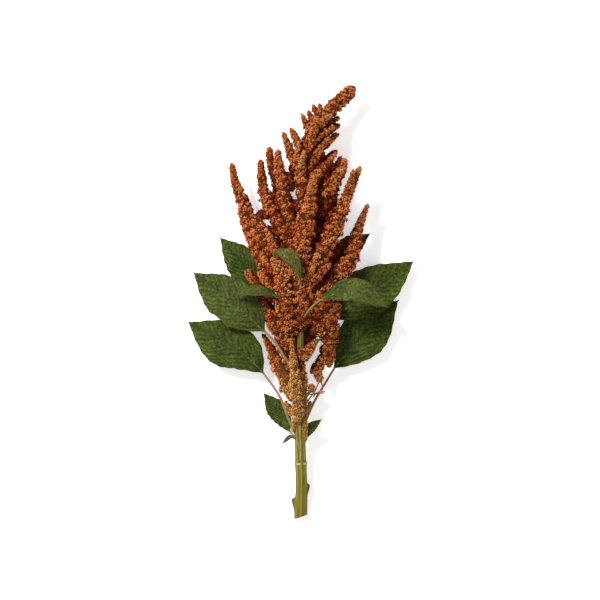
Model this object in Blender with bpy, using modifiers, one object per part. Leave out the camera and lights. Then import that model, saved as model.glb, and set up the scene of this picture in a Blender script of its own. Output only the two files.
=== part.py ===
"""Cut amaranth stem with its seed head and leaves, lying on its back.

The stem runs along +Y, from the cut end to the tip of the head, and +Z is up from
the surface it lies on. Sizes and places below are in millimetres, and the meshes
are in metres. Every spike, leaf and stalk follows a smooth curve through a few
points, given from its tip to its root or from its base to its tip, as named.
"""

import math
from collections import namedtuple

import bmesh
import bpy
import numpy as np
from mathutils import Quaternion, Vector

MM = 0.001
UP = Vector((0.0, 0.0, 1.0))
GOLDEN_ANGLE = math.radians(137.508)

# Gap between neighbours that touch on the plant
CLEARANCE = 0.3

# Stem: centre line from the cut end up into the head, with the diameter there
STEM_ROUTE = [(-0.6, -224, 4.4), (-0.6, -204, 7.6), (0.4, -184, 11.4), (-0.5, -150, 17.6),
              (-0.6, -120, 23.0), (-0.4, -60, 33.0), (0.4, 0, 41.0), (0.8, 14, 42.5)]
STEM_DIAMETERS = [(0.0, 13.2), (0.1, 13.0), (0.13, 10.8), (0.26, 10.2), (0.6, 9.4),
                  (0.86, 7.2), (1.0, 4.6)]
STEM_RIBS = 8
STEM_RIB_DEPTH = 0.07
STEM_SECTIONS = 16
CUT_END = (-5.6, -216.5, 0.0)
CUT_END_SLANT = 19.0
FOOT_BLOCK = (60.0, 30.0, 60.0)
NODE_RING_Y = -162.0
NODE_RING_SIZE = (12.0, 3.4)
NODE_RING_SIDES = 12
NODE_RING_ROWS = 6
LEAF_SCARS = [((6.4, -184.4, 12.2), 1), ((-5.0, -199.0, 9.4), -1)]
LEAF_SCAR_SIZE = (3.2, 6.0)
LEAF_SCAR_SIDES = 8
LEAF_SCAR_TIP = 0.3
LEAF_SCAR_LEAN = 0.35

# Core of the head, from its top down, with its diameter at each share of the length
CORE_ROUTE = [(11.4, 168, 37), (8.4, 136, 41), (6.4, 106, 44), (2.4, 71, 46),
              (0.8, 30, 45), (0.5, -2, 41), (0.4, -46, 36)]
CORE_DIAMETERS = [(0.0, 8), (0.32, 12), (0.48, 20), (0.68, 33), (0.82, 31), (1.0, 18)]
CORE_SEGMENTS = 10
CORE_ROWS = 22

# Spikes of the head: full width, the route from tip to root, and the width of the blunt tip
Spike = namedtuple("Spike", "width route tip", defaults=[4.6])
SPIKES = {
    "terminal": Spike(17, [(53, 214.2, 28), (42.4, 202.8, 30), (30.4, 190.6, 33),
                           (14, 172, 36), (3, 145, 40)], 14),
    "crest_1": Spike(7, [(18.6, 197.7, 35), (21.8, 190.7, 34), (27, 184, 33)]),
    "crest_2": Spike(7, [(12.2, 197.1, 29), (17.4, 188.1, 31), (23, 182, 33)]),
    "crest_3": Spike(7, [(7.1, 191, 32), (13.4, 180.5, 34), (16, 172, 36)]),
    "crest_4": Spike(9, [(0.1, 188.5, 38), (5.9, 176.7, 38), (10, 162, 38)]),
    "crest_5": Spike(10, [(-10.4, 173.8, 43), (-5.6, 165.8, 43), (0.1, 157.5, 43), (5, 145, 42)]),
    "crest_6": Spike(11, [(-17.4, 169, 38), (-13.3, 158.8, 39), (-7.5, 143, 41), (5, 118, 43)]),
    "left_1": Spike(12, [(-30.9, 154.3, 25), (-30.6, 142.3, 26), (-25, 120, 30), (-6, 82, 40)], 7),
    "left_2": Spike(18, [(-22.3, 152.3, 44), (-21.9, 139, 45), (-18, 116.7, 46),
                         (-12, 92, 46), (2, 54, 46)], 7),
    "left_3": Spike(16.5, [(-40.4, 142.4, 34), (-40.4, 129, 35), (-35.8, 103.9, 38),
                           (-27, 84.8, 41), (-4, 44, 45)], 7),
    "left_4": Spike(18, [(-68.8, 138.6, 30), (-65.3, 119.8, 31), (-57, 97.5, 34),
                         (-48, 76, 37), (-4, 14, 44)], 6),
    "left_5": Spike(23, [(-57, 88.5, 27), (-49.8, 71.5, 30), (-37.5, 42, 35), (-4, -6, 41)], 9),
    "left_6": Spike(15, [(-43, 91, 35), (-37, 80, 37), (-26, 60, 41), (-4, 26, 44)], 7),
    "front_1": Spike(20, [(12.7, 129.4, 68), (12.6, 119.8, 67), (9.2, 94.3, 63),
                          (4.1, 68.8, 58), (0.4, 30, 50)], 6),
    "front_2": Spike(14, [(4.4, 150.8, 52), (0.6, 139, 52), (-2.4, 122, 51),
                          (0, 98, 48), (3, 72, 46)], 5),
    "front_3": Spike(12, [(-35.4, 73.6, 54), (-31, 64.7, 55), (-24, 49, 55), (-5, 22, 50)]),
    "front_4": Spike(24, [(-29.7, 43.4, 56), (-24.6, 36.7, 56), (-16, 16, 55),
                          (-12.8, -15.1, 49), (-10, -40, 42), (-5, -66, 36)], 6),
    "crown_1": Spike(11, [(30.7, 164.5, 46), (25, 157.5, 46), (18.6, 149.3, 45), (6, 128, 43)]),
    "crown_2": Spike(9, [(38.7, 165.8, 31), (33.3, 162, 32), (14, 140, 39)]),
    "crown_3": Spike(9, [(34.9, 174.7, 40), (25, 169, 40), (10, 156, 39)]),
    "crown_4": Spike(8.5, [(40, 173.8, 25), (30, 168, 29), (12, 154, 37)]),
    "crown_5": Spike(8.5, [(39, 181.1, 28), (31, 176, 30), (13, 165, 36)]),
    "crown_6": Spike(10, [(32, 186.9, 42), (24.4, 181.8, 42), (14, 171, 42), (7, 148, 41)]),
    "crown_7": Spike(8, [(18.6, 183, 45), (14.1, 176.7, 44), (10, 166, 40)]),
    "crown_8": Spike(11, [(-1.2, 160.7, 48), (-2.4, 151.1, 48), (-2, 136, 47), (5, 114, 44)]),
    "right_1": Spike(9, [(37.1, 153.4, 29), (31.4, 149.3, 31), (10, 126, 39)]),
    "right_2": Spike(11, [(40.3, 146.7, 33), (36.4, 141.6, 34), (30, 133, 36), (8, 104, 42)]),
    "right_3": Spike(14, [(36, 148.5, 43), (28.9, 140.3, 43), (20, 130, 44), (6, 104, 44)]),
    "right_4": Spike(14.5, [(44.6, 143.2, 48), (41.8, 132, 48), (30.8, 115.4, 49),
                            (22.8, 97.5, 49), (3, 58, 47)], 6),
    "right_5": Spike(20, [(59.9, 135.4, 46), (55.4, 125, 47), (45.8, 103.9, 50),
                          (37.9, 84.8, 52), (23, 54, 52), (0, 12, 46)], 6),
    "right_6": Spike(10, [(52.5, 132, 55), (50, 119, 54), (44, 98, 52)]),
    "right_7": Spike(20, [(66.6, 97.6, 34), (60.6, 83.5, 35), (53, 62, 37),
                          (43, 36, 39), (2, -10, 42)], 5),
    "right_8": Spike(13, [(30.9, 37.3, 60), (21.3, 30.3, 58), (3, 14, 50)]),
    "right_9": Spike(10, [(14.9, 36.7, 62), (10, 28, 59), (2, 14, 52)]),
    "right_10": Spike(22, [(40, 62, 40), (30, 40, 42), (4, 0, 42)]),
    "side_1": Spike(11, [(-54.6, 32.2, 37), (-47, 24, 37), (-26, 4, 38), (-6, -16, 40)]),
    "side_2": Spike(11, [(-42.4, 30.3, 49), (-35, 22, 49), (-22, 6, 46), (-4, -12, 42)]),
    "side_3": Spike(11, [(-39.9, 50.7, 48), (-34, 41, 48), (-16, 16, 47)]),
    "side_4": Spike(20, [(39, -1, 36), (27, -18, 37), (0, -44, 36)], 9),
    "side_5": Spike(20, [(28, 20, 50), (18, -4, 46), (6, -32, 41), (-2, -52, 38)]),
    "low_1": Spike(17, [(-11, -42.5, 46), (-8.6, -53.3, 46), (-5.8, -82, 42),
                        (-4.6, -104.2, 36), (-1.6, -137, 29)], 6),
    "low_2": Spike(18, [(-38.5, -29, 21), (-30.5, -44, 20), (-22, -61, 20),
                        (-14, -82, 23), (-4, -106, 27)], 7),
    "low_3": Spike(19, [(20.6, -81.8, 26), (16.8, -69, 28), (24.5, -54, 31), (29, -36, 33),
                        (26, -14, 37), (10, 18, 42)], 7),
    "low_4": Spike(12, [(16.5, -38.5, 36), (9, -48, 37), (-1, -62, 39)]),
    "low_5": Spike(8.5, [(12.6, -83.5, 31), (10.2, -87.3, 31.5), (5, -93, 32)], 7),
    "low_6": Spike(8, [(-8.8, -131, 25), (-6.6, -125, 27), (-2, -104, 34)]),
    "low_7": Spike(20, [(-38, 4, 28), (-25, -20, 33), (-4, -48, 36)], 11),
    "low_8": Spike(10, [(28.5, -65, 28), (30, -52, 30), (29, -34, 33)], 7),
    "low_9": Spike(8, [(5.4, -131, 26), (4.4, -124, 29), (0, -104, 35)]),
    "low_10": Spike(15, [(3.5, -84, 31), (2, -100, 30), (0, -123, 26)], 7),
}

# Two low spikes and the cut end of the stem carry the plant
REST_SPIKES = {
    "rest_left": Spike(16, [(-31, 112, 5), (-27, 96, 3.4), (-20, 74, 9.5), (-4, 42, 36)]),
    "rest_right": Spike(16, [(34, 110, 5), (30, 94, 3.4), (23, 72, 9.5), (6, 40, 36)]),
}

# Spikes of the hidden back, set round the core by the golden angle
BACK_COUNT = 13
BACK_ROOTS_Y = (-30.0, 140.0)
BACK_SPREAD = 62.0
BACK_LENGTHS = [(0.0, 62.0), (1.0, 30.0)]
BACK_WIDTHS = [(0.0, 16.0), (1.0, 8.5)]
BACK_RISE = 56.0
BACK_BULGE = 0.16
BACK_FLOOR = 2.0

# Slab under the surface that the plant lies on
FLOOR_SLAB = (200.0, 480.0, 20.0)

# Spike surface: rows of raised knots, staggered from row to row
KNOT_GAP = 8.2
KNOT_RISE = 0.15
SPIKE_SIDES = [(12, 6), (30, 8)]
SHORTEST_ROWS = 6
FULL_WIDTH_AT = 0.5
ROW_CROWDING = 1.4
END_ROUNDING = 2.6

# Leaves: roll and fold are in degrees, a blade runs from base to tip, a stalk from blade to root
# The half of a blade to the left of its midrib has a share of its own in the width
Leaf = namedtuple("Leaf", "width roll fold wave blade stalk left", defaults=[1.0])
LEAVES = {
    "leaf_left_1": Leaf(34, 0, 8, 1.2, [(-34, 10, 17), (-56, 36, 16), (-79.6, 63.3, 9)],
                        [(-34, 10, 17), (-18, -8, 22), (-2, -24, 33)]),
    "leaf_left_2": Leaf(47, -6, 7, 1.4, [(-35.6, -30.7, 33), (-67, -2, 31), (-106.4, 28.0, 15)],
                        [(-35.6, -30.7, 33), (-24, -42, 33.5), (-13.8, -58.7, 33), (-3, -75, 30.6)]),
    "leaf_left_3": Leaf(47, -6, 7, 1.4, [(-37, -72, 21), (-58.5, -51.6, 21), (-88, -35, 17),
                                         (-111.4, -21.6, 8)],
                        [(-37, -72, 21), (-20.6, -94.4, 22), (-11.6, -117.5, 21.5), (-3, -136, 20)]),
    "leaf_left_4": Leaf(17, 50, 10, 0.5, [(-21.9, 4.3, 56), (-45, 10, 53), (-68, 6.4, 43)],
                        [(-21.9, 4.3, 56), (-16, 3, 54), (-6, -2, 48)]),
    "leaf_right_1": Leaf(23, 0, 8, 1.0, [(28, 38, 25), (50, 55, 23), (68.6, 67.0, 16)],
                         [(28, 38, 25), (16, 26, 30), (4, 10, 38)]),
    "leaf_right_2": Leaf(47, 0, 7, 1.4, [(30, -18, 24), (70, 10, 21), (111.6, 38.6, 11)],
                         [(30, -18, 24), (18, -32, 28), (2, -47, 34)]),
    "leaf_right_3": Leaf(31, -30, 14, 0.8, [(20.1, 3.3, 66), (54, 10, 66), (88.6, -6.3, 52)],
                         [(20.1, 3.3, 66), (12, -4.7, 62), (5.4, -13, 54), (1.6, -21, 40)]),
    "leaf_right_4": Leaf(48, 4, 7, 1.4, [(33.2, -67.4, 16), (67.8, -28.2, 14), (97.2, 0.2, 8)],
                         [(33.2, -67.4, 16), (24, -81.5, 17), (11.6, -98.7, 20), (5.4, -119, 20.5),
                          (0, -134, 20)]),
    "leaf_front": Leaf(27, -34, -24, 0.5, [(-0.6, 20.3, 67), (-4, 28.4, 71), (-12, 38.2, 74),
                                           (-20.5, 45.5, 73), (-28.6, 46.8, 68)],
                       [(-0.6, 20.3, 67), (-0.6, 14, 63), (-1, 6, 56)], 0.35),
    "bract_left": Leaf(19.5, 0, 8, 0.8, [(-10.4, -131, 17.4), (-21, -114, 15), (-35.8, -93.6, 11)],
                       [(-10.4, -131, 17.4), (-7, -134.5, 18.4), (-2, -138, 19.4)]),
    "bract_right": Leaf(7.5, 0, 8, 0.3, [(6, -139, 20.6), (11, -130, 23), (19.8, -118.8, 24)],
                        [(6, -139, 20.6), (4, -142, 20), (1, -145, 19)]),
    "bract_low": Leaf(4.5, 20, 10, 0.2, [(-6, -135.6, 21), (-11.5, -135.4, 20), (-18.4, -142.2, 15)],
                      [(-6, -135.6, 21), (-4, -137.6, 20.6), (-1, -141, 19.8)]),
}
BLADE_THICKNESS = 0.9
BLADE_ROW_GAP = 8.5
FEWEST_BLADE_ROWS = 6
BLADE_COLUMNS = 4
BLADE_END_WIDTH = 1.0
BLADE_WAVES = 3.5
BLADE_WAVE_SHIFT = 0.2
BLADE_BASE_POWER = 1.15
BLADE_TIP_POWER = 1.35
STALK_WIDTHS = [(0.0, 0.7), (0.3, 2.0), (1.0, 3.4)]
STALK_REACH = 0.34
STALK_SECTIONS = 7
FULL_STALK_BLADE = 40.0
THINNEST_STALK = 0.5

# Surfaces: linear red, green and blue, then roughness
COLOURS = {
    "stem_green": ((0.26, 0.21, 0.055), 0.55),
    "seed_rust": ((0.28, 0.085, 0.028), 0.85),
    "leaf_green": ((0.055, 0.085, 0.022), 0.6),
}
MATERIAL_OF = {"stem": "stem_green", "seed_head": "seed_rust"}
SMOOTH_ANGLE = 50.0


class Route:
    """A smooth curve through a few points, read by the share of its length."""

    steps = 16

    def __init__(self, points):
        knots = np.array(points, dtype=float)
        before = 2 * knots[0] - knots[1]
        after = 2 * knots[-1] - knots[-2]
        knots = np.vstack([before, knots, after])
        dense = []
        for a, b, c, d in zip(knots, knots[1:], knots[2:], knots[3:]):
            for step in range(self.steps):
                dense.append(self.between(a, b, c, d, step / self.steps))
        dense.append(knots[-2])
        self.points = np.array(dense)
        runs = np.linalg.norm(np.diff(self.points, axis=0), axis=1)
        travelled = np.concatenate([[0.0], np.cumsum(runs)])
        self.length = float(travelled[-1])
        self.shares = travelled / self.length

    @staticmethod
    def between(a, b, c, d, u):
        """A point on the Catmull-Rom curve from b to c."""
        return 0.5 * (2 * b + (c - a) * u + (2 * a - 5 * b + 4 * c - d) * u**2
                      + (3 * b - a - 3 * c + d) * u**3)

    def at(self, share):
        return Vector([np.interp(share, self.shares, self.points[:, axis]) for axis in range(3)])

    def direction(self, share):
        reach = 0.02
        return (self.at(min(share + reach, 1.0)) - self.at(max(share - reach, 0.0))).normalized()


def read_profile(profile, share):
    """The value at a share of the length, between the listed pairs."""
    shares, values = zip(*profile)
    return float(np.interp(share, shares, values))


def clear_scene():
    for thing in list(bpy.data.objects):
        bpy.data.objects.remove(thing, do_unlink=True)


def new_collection(name):
    group = bpy.data.collections.new(name)
    bpy.context.scene.collection.children.link(group)
    return group


def new_material(name, colour, roughness):
    material = bpy.data.materials.new(name)
    material.use_nodes = True
    shader = material.node_tree.nodes["Principled BSDF"]
    shader.inputs["Base Color"].default_value = (*colour, 1.0)
    shader.inputs["Roughness"].default_value = roughness
    shader.inputs["Metallic"].default_value = 0.0
    return material


def add_object(name, shape, group):
    """Turn a bmesh in millimetres into an object in metres."""
    bmesh.ops.scale(shape, vec=(MM, MM, MM), verts=shape.verts)
    mesh = bpy.data.meshes.new(name)
    shape.to_mesh(mesh)
    shape.free()
    thing = bpy.data.objects.new(name, mesh)
    group.objects.link(thing)
    return thing


def hide_helper(thing):
    thing.hide_render = True
    thing.display_type = "WIRE"


def bake_modifiers(thing):
    """Replace an object's mesh by its evaluated one."""
    bpy.context.view_layer.update()
    seen = thing.evaluated_get(bpy.context.evaluated_depsgraph_get())
    mesh = bpy.data.meshes.new_from_object(seen)
    thing.modifiers.clear()
    thing.data = mesh


def boolean(thing, other, operation):
    """Join or cut with one object or a whole collection, and apply it."""
    cut = thing.modifiers.new(operation.title(), "BOOLEAN")
    cut.operation = operation
    cut.solver = "MANIFOLD"
    if isinstance(other, bpy.types.Collection):
        cut.operand_type = "COLLECTION"
        cut.collection = other
    else:
        cut.object = other
    bake_modifiers(thing)


def empty_collection(group):
    for thing in list(group.objects):
        bpy.data.objects.remove(thing, do_unlink=True)


def connected_faces(first):
    """All faces that join a face through shared edges."""
    found = {first}
    waiting = [first]
    while waiting:
        for edge in waiting.pop().edges:
            for face in edge.link_faces:
                if face not in found:
                    found.add(face)
                    waiting.append(face)
    return found


def keep_largest_piece(thing):
    """Drop loose scraps and the walls of sealed hollows."""
    shape = bmesh.new()
    shape.from_mesh(thing.data)
    left = set(shape.faces)
    pieces = []
    while left:
        piece = connected_faces(next(iter(left)))
        left -= piece
        pieces.append(piece)
    pieces.sort(key=len)
    scraps = [face for piece in pieces[:-1] for face in piece]
    bmesh.ops.delete(shape, geom=scraps, context="FACES")
    bmesh.ops.triangulate(shape, faces=shape.faces)
    shape.to_mesh(thing.data)
    shape.free()


def rib_profile(group):
    """A round outline with shallow ribs, one unit in radius."""
    curve = bpy.data.curves.new("rib_profile", "CURVE")
    curve.dimensions = "2D"
    spline = curve.splines.new("POLY")
    spline.points.add(2 * STEM_RIBS - 1)
    spline.use_cyclic_u = True
    for index, point in enumerate(spline.points):
        angle = math.pi * index / STEM_RIBS
        radius = MM * (1 - STEM_RIB_DEPTH * (index % 2))
        point.co = (radius * math.cos(angle), radius * math.sin(angle), 0.0, 1.0)
    profile = bpy.data.objects.new("rib_profile", curve)
    group.objects.link(profile)
    hide_helper(profile)
    return profile


def tube_along(name, route, radius_at, sections, grow, group, profile=None):
    """A closed tube along a route: a curve with a bevel, turned into a welded mesh."""
    curve = bpy.data.curves.new(name, "CURVE")
    curve.dimensions = "3D"
    curve.fill_mode = "FULL"
    curve.use_fill_caps = True
    if profile:
        curve.bevel_mode = "OBJECT"
        curve.bevel_object = profile
    else:
        curve.bevel_depth = MM
        curve.bevel_resolution = 1
    spline = curve.splines.new("POLY")
    spline.points.add(sections)
    for step, point in enumerate(spline.points):
        share = step / sections
        end = grow * (share == 1.0) - grow * (share == 0.0)
        place = route.at(share) + end * route.direction(share)
        point.co = (*(place * MM), 1.0)
        point.radius = radius_at(share) + grow
    holder = bpy.data.objects.new(name + "_curve", curve)
    group.objects.link(holder)
    bpy.context.view_layer.update()
    seen = holder.evaluated_get(bpy.context.evaluated_depsgraph_get())
    mesh = bpy.data.meshes.new_from_object(seen)
    tube = bpy.data.objects.new(name, mesh)
    tube.matrix_world = holder.matrix_world
    group.objects.link(tube)
    bpy.data.objects.remove(holder, do_unlink=True)
    shape = bmesh.new()
    shape.from_mesh(mesh)
    bmesh.ops.remove_doubles(shape, verts=shape.verts, dist=0.02 * MM)
    bmesh.ops.recalc_face_normals(shape, faces=shape.faces)
    shape.to_mesh(mesh)
    shape.free()
    return tube


def build_body_along(name, route, radius_at, segments, rows, knot_rise, group):
    """A sphere drawn out along a route, with staggered knots raised on it."""
    shape = bmesh.new()
    bmesh.ops.create_uvsphere(shape, u_segments=segments, v_segments=rows, radius=1.0)
    for vertex in shape.verts:
        polar = math.acos(max(-1.0, min(1.0, vertex.co.z)))
        angle = math.atan2(vertex.co.y, vertex.co.x)
        row = round(polar / math.pi * rows)
        segment = round(angle / (2 * math.pi) * segments)
        share = (polar / math.pi)**ROW_CROWDING
        forward = -route.direction(share)
        side = UP.cross(forward).normalized()
        over = forward.cross(side)
        end_round = min(1.0, END_ROUNDING * math.sin(polar))
        knot = 1 + knot_rise * (1 if (row + segment) % 2 else -1)
        radius = radius_at(share) * end_round * knot
        vertex.co = route.at(share) + radius * (math.cos(angle) * side + math.sin(angle) * over)
    return add_object(name, shape, group)


def spike_radius(spike, share):
    """Half the width of a spike: it grows evenly from the tip, then stays full to the root."""
    grown = min(1.0, share / FULL_WIDTH_AT)
    return (spike.tip + (spike.width - spike.tip) * grown) / 2


def build_spike(name, spike, group):
    route = Route(spike.route)
    rows = max(SHORTEST_ROWS, round(route.length / KNOT_GAP))
    segments = next(sides for widest, sides in SPIKE_SIDES if spike.width <= widest)
    return build_body_along(name, route, lambda share: spike_radius(spike, share),
                            segments, rows, KNOT_RISE, group)


def back_spikes():
    """Routes of the hidden spikes: longer low on the head, and clear of the surface."""
    core = Route(CORE_ROUTE)
    for index in range(BACK_COUNT):
        height = (index + 0.5) / BACK_COUNT
        root_y = BACK_ROOTS_Y[0] + height * (BACK_ROOTS_Y[1] - BACK_ROOTS_Y[0])
        root = core.at(share_at_y(core, root_y))
        turn = math.sin(index * GOLDEN_ANGLE) * math.radians(BACK_SPREAD)
        rise = math.radians(BACK_RISE)
        length = read_profile(BACK_LENGTHS, height)
        width = read_profile(BACK_WIDTHS, height)
        out = Vector((math.sin(turn), 0, -math.cos(turn)))
        tip = root + length * (out * math.cos(rise) + Vector((0, math.sin(rise), 0)))
        tip.z = max(tip.z, BACK_FLOOR + width / 3)
        middle = root.lerp(tip, 0.5) + out * BACK_BULGE * length
        middle.z = max(middle.z, BACK_FLOOR + width / 2)
        yield f"back_{index + 1}", Spike(width, [tip, middle, root])


def share_at_y(route, y):
    """The share of a route's length at which it passes a place along Y."""
    pairs = sorted((point[1], share) for point, share in zip(route.points, route.shares))
    return read_profile(pairs, y)


def stem_tube(name, grow, group):
    profile = rib_profile(group)
    tube = tube_along(name, Route(STEM_ROUTE), lambda share: read_profile(STEM_DIAMETERS, share) / 2,
                      STEM_SECTIONS, grow, group, profile)
    bpy.data.objects.remove(profile, do_unlink=True)
    return tube


def add_node_ring(group):
    """The swollen ring of the lowest node."""
    route = Route(STEM_ROUTE)
    share = share_at_y(route, NODE_RING_Y)
    width, height = NODE_RING_SIZE
    ring = bmesh.new()
    bmesh.ops.create_uvsphere(ring, u_segments=NODE_RING_SIDES, v_segments=NODE_RING_ROWS, radius=0.5)
    bmesh.ops.scale(ring, vec=(width, width, height), verts=ring.verts)
    turn = UP.rotation_difference(route.direction(share)).to_matrix()
    bmesh.ops.rotate(ring, matrix=turn, verts=ring.verts)
    bmesh.ops.translate(ring, vec=route.at(share), verts=ring.verts)
    add_object("node_ring", ring, group)


def add_leaf_scars(group):
    """The ledges that two fallen leaves left."""
    radius, length = LEAF_SCAR_SIZE
    for index, (place, outward) in enumerate(LEAF_SCARS):
        scar = bmesh.new()
        bmesh.ops.create_cone(scar, cap_ends=True, segments=LEAF_SCAR_SIDES,
                              radius1=radius, radius2=radius * LEAF_SCAR_TIP, depth=length)
        lean = Vector((outward * LEAF_SCAR_LEAN, 1.0, 0.1))
        turn = UP.rotation_difference(lean).to_matrix()
        bmesh.ops.rotate(scar, matrix=turn, verts=scar.verts)
        bmesh.ops.translate(scar, vec=place, verts=scar.verts)
        add_object(f"leaf_scar_{index + 1}", scar, group)


def build_stem(group, pieces, cutters):
    """A ribbed stem with its node ring and leaf scars, cut on a slant at the foot."""
    stem = stem_tube("stem", 0.0, group)
    add_node_ring(pieces)
    add_leaf_scars(pieces)
    boolean(stem, pieces, "UNION")
    empty_collection(pieces)
    boolean(stem, foot_cutter(cutters), "DIFFERENCE")
    boolean(stem, cutters.objects["floor_cutter"], "DIFFERENCE")
    keep_largest_piece(stem)
    return stem


def floor_cutter(group):
    """A slab whose top is the surface that the plant lies on."""
    slab = bmesh.new()
    bmesh.ops.create_cube(slab, size=1.0)
    bmesh.ops.scale(slab, vec=FLOOR_SLAB, verts=slab.verts)
    bmesh.ops.translate(slab, vec=(0, 0, -FLOOR_SLAB[2] / 2), verts=slab.verts)
    return add_object("floor_cutter", slab, group)


def foot_cutter(group):
    """A block that trims the foot of the stem on a slant."""
    block = bmesh.new()
    bmesh.ops.create_cube(block, size=1.0)
    bmesh.ops.scale(block, vec=FOOT_BLOCK, verts=block.verts)
    bmesh.ops.translate(block, vec=(0, -FOOT_BLOCK[1] / 2, 0), verts=block.verts)
    slant = Quaternion(UP, math.radians(CUT_END_SLANT)).to_matrix()
    bmesh.ops.rotate(block, matrix=slant, verts=block.verts)
    bmesh.ops.translate(block, vec=CUT_END, verts=block.verts)
    return add_object("foot_cutter", block, group)


def blade_half_width(width, share):
    """Half the width of a blade: a wedge at the base, widest near the middle, a drawn-out tip."""
    peak = BLADE_BASE_POWER / (BLADE_BASE_POWER + BLADE_TIP_POWER)
    top = peak**BLADE_BASE_POWER * (1 - peak)**BLADE_TIP_POWER
    outline = share**BLADE_BASE_POWER * (1 - share)**BLADE_TIP_POWER / top
    return max(width / 2 * outline, BLADE_END_WIDTH / 2)


def build_blade(name, leaf, grow, group):
    """A thin waved blade: a grid bent to its outline, triangulated, then given thickness."""
    route = Route(leaf.blade)
    fold = math.radians(leaf.fold)
    rows = max(FEWEST_BLADE_ROWS, round(route.length / BLADE_ROW_GAP))
    shape = bmesh.new()
    bmesh.ops.create_grid(shape, x_segments=rows, y_segments=BLADE_COLUMNS, size=1.0)
    for vertex in shape.verts:
        share = (vertex.co.x + 1) / 2
        across = vertex.co.y
        forward = route.direction(share)
        left = UP.cross(forward).normalized()
        left.rotate(Quaternion(forward, math.radians(leaf.roll)))
        face = forward.cross(left)
        half_share = leaf.left if across > 0 else 1.0
        half = (blade_half_width(leaf.width, share) * half_share + grow) * across
        phase = 2 * math.pi * (BLADE_WAVES * share + BLADE_WAVE_SHIFT * across)
        ripple = leaf.wave * across**2 * math.sin(phase) * math.sin(math.pi * share)
        rise = abs(half) * math.sin(fold) + ripple
        end = grow * (2 * share - 1)
        vertex.co = route.at(share) + half * math.cos(fold) * left + rise * face + end * forward
    bmesh.ops.triangulate(shape, faces=shape.faces)
    blade = add_object(name, shape, group)
    skin = blade.modifiers.new("Thickness", "SOLIDIFY")
    skin.thickness = (BLADE_THICKNESS + 2 * grow) * MM
    skin.offset = 0.0
    bake_modifiers(blade)
    return blade


def build_stalk(name, leaf, grow, group):
    """The stalk, which runs on under the blade as its midrib."""
    blade = Route(leaf.blade)
    midrib = [blade.at(STALK_REACH), blade.at(STALK_REACH / 2)]
    scale = min(1.0, max(THINNEST_STALK, leaf.width / FULL_STALK_BLADE))
    return tube_along(name, Route(midrib + leaf.stalk),
                      lambda share: scale * read_profile(STALK_WIDTHS, share) / 2,
                      STALK_SECTIONS, grow, group)


def build_leaf(name, leaf, grow, group):
    blade = build_blade(name, leaf, grow, group)
    stalk = build_stalk(name + "_stalk", leaf, grow, group)
    boolean(blade, stalk, "UNION")
    bpy.data.objects.remove(stalk, do_unlink=True)
    keep_largest_piece(blade)
    return blade


def build_leaves(group, stem_clear):
    for name, leaf in LEAVES.items():
        blade = build_leaf(name, leaf, 0.0, group)
        boolean(blade, stem_clear, "DIFFERENCE")
        keep_largest_piece(blade)


def build_head(group, pieces, cutters):
    """The core and all its spikes in one body, cut clear of the stem and the leaves."""
    core_route = Route(CORE_ROUTE)
    head = build_body_along("seed_head", core_route,
                            lambda share: read_profile(CORE_DIAMETERS, share) / 2,
                            CORE_SEGMENTS, CORE_ROWS, KNOT_RISE, group)
    spikes = {**SPIKES, **REST_SPIKES, **dict(back_spikes())}
    for name, spike in spikes.items():
        build_spike(name, spike, pieces)
    boolean(head, pieces, "UNION")
    empty_collection(pieces)
    keep_largest_piece(head)
    boolean(head, cutters, "DIFFERENCE")
    keep_largest_piece(head)
    return head


def finish(group):
    """Give every part its material and smooth shading."""
    materials = {name: new_material(name, *look) for name, look in COLOURS.items()}
    for thing in group.objects:
        slot = MATERIAL_OF.get(thing.name, "leaf_green")
        thing.data.materials.clear()
        thing.data.materials.append(materials[slot])
        thing.data.shade_smooth()
        thing.data.set_sharp_from_angle(angle=math.radians(SMOOTH_ANGLE))


def main():
    clear_scene()
    plant = new_collection("amaranth_seed_head")
    pieces = new_collection("pieces_to_join")
    cutters = new_collection("cutters")
    floor_cutter(cutters)
    build_stem(plant, pieces, cutters)
    stem_clear = stem_tube("stem_clear", CLEARANCE, cutters)
    build_leaves(plant, stem_clear)
    for name, leaf in LEAVES.items():
        build_leaf(name + "_clear", leaf, CLEARANCE, cutters)
    build_head(plant, pieces, cutters)
    for cutter in cutters.objects:
        hide_helper(cutter)
    finish(plant)


main()
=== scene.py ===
import math
from collections import namedtuple
from functools import partial

import bpy
import numpy as np
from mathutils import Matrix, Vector, noise
from mathutils.bvhtree import BVHTree
from mathutils.kdtree import KDTree


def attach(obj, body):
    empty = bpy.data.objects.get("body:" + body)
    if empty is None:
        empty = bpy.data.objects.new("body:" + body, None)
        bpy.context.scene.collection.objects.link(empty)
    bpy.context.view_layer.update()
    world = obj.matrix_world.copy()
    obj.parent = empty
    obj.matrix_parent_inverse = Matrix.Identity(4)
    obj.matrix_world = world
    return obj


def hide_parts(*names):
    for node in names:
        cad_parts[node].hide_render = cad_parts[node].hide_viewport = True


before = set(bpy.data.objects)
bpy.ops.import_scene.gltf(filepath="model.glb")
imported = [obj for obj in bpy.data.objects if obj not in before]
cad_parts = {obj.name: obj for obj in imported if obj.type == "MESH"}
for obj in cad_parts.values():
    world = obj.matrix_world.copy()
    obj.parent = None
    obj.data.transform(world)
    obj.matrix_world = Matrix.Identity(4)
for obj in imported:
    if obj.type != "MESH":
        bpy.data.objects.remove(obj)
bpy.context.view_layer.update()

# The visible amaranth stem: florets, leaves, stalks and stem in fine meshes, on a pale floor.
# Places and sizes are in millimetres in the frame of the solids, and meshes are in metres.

MM = 0.001
UP = np.array([0.0, 0.0, 1.0])
FULL_TURN = 2 * math.pi
GOLDEN_ANGLE = math.radians(137.508)

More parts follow.
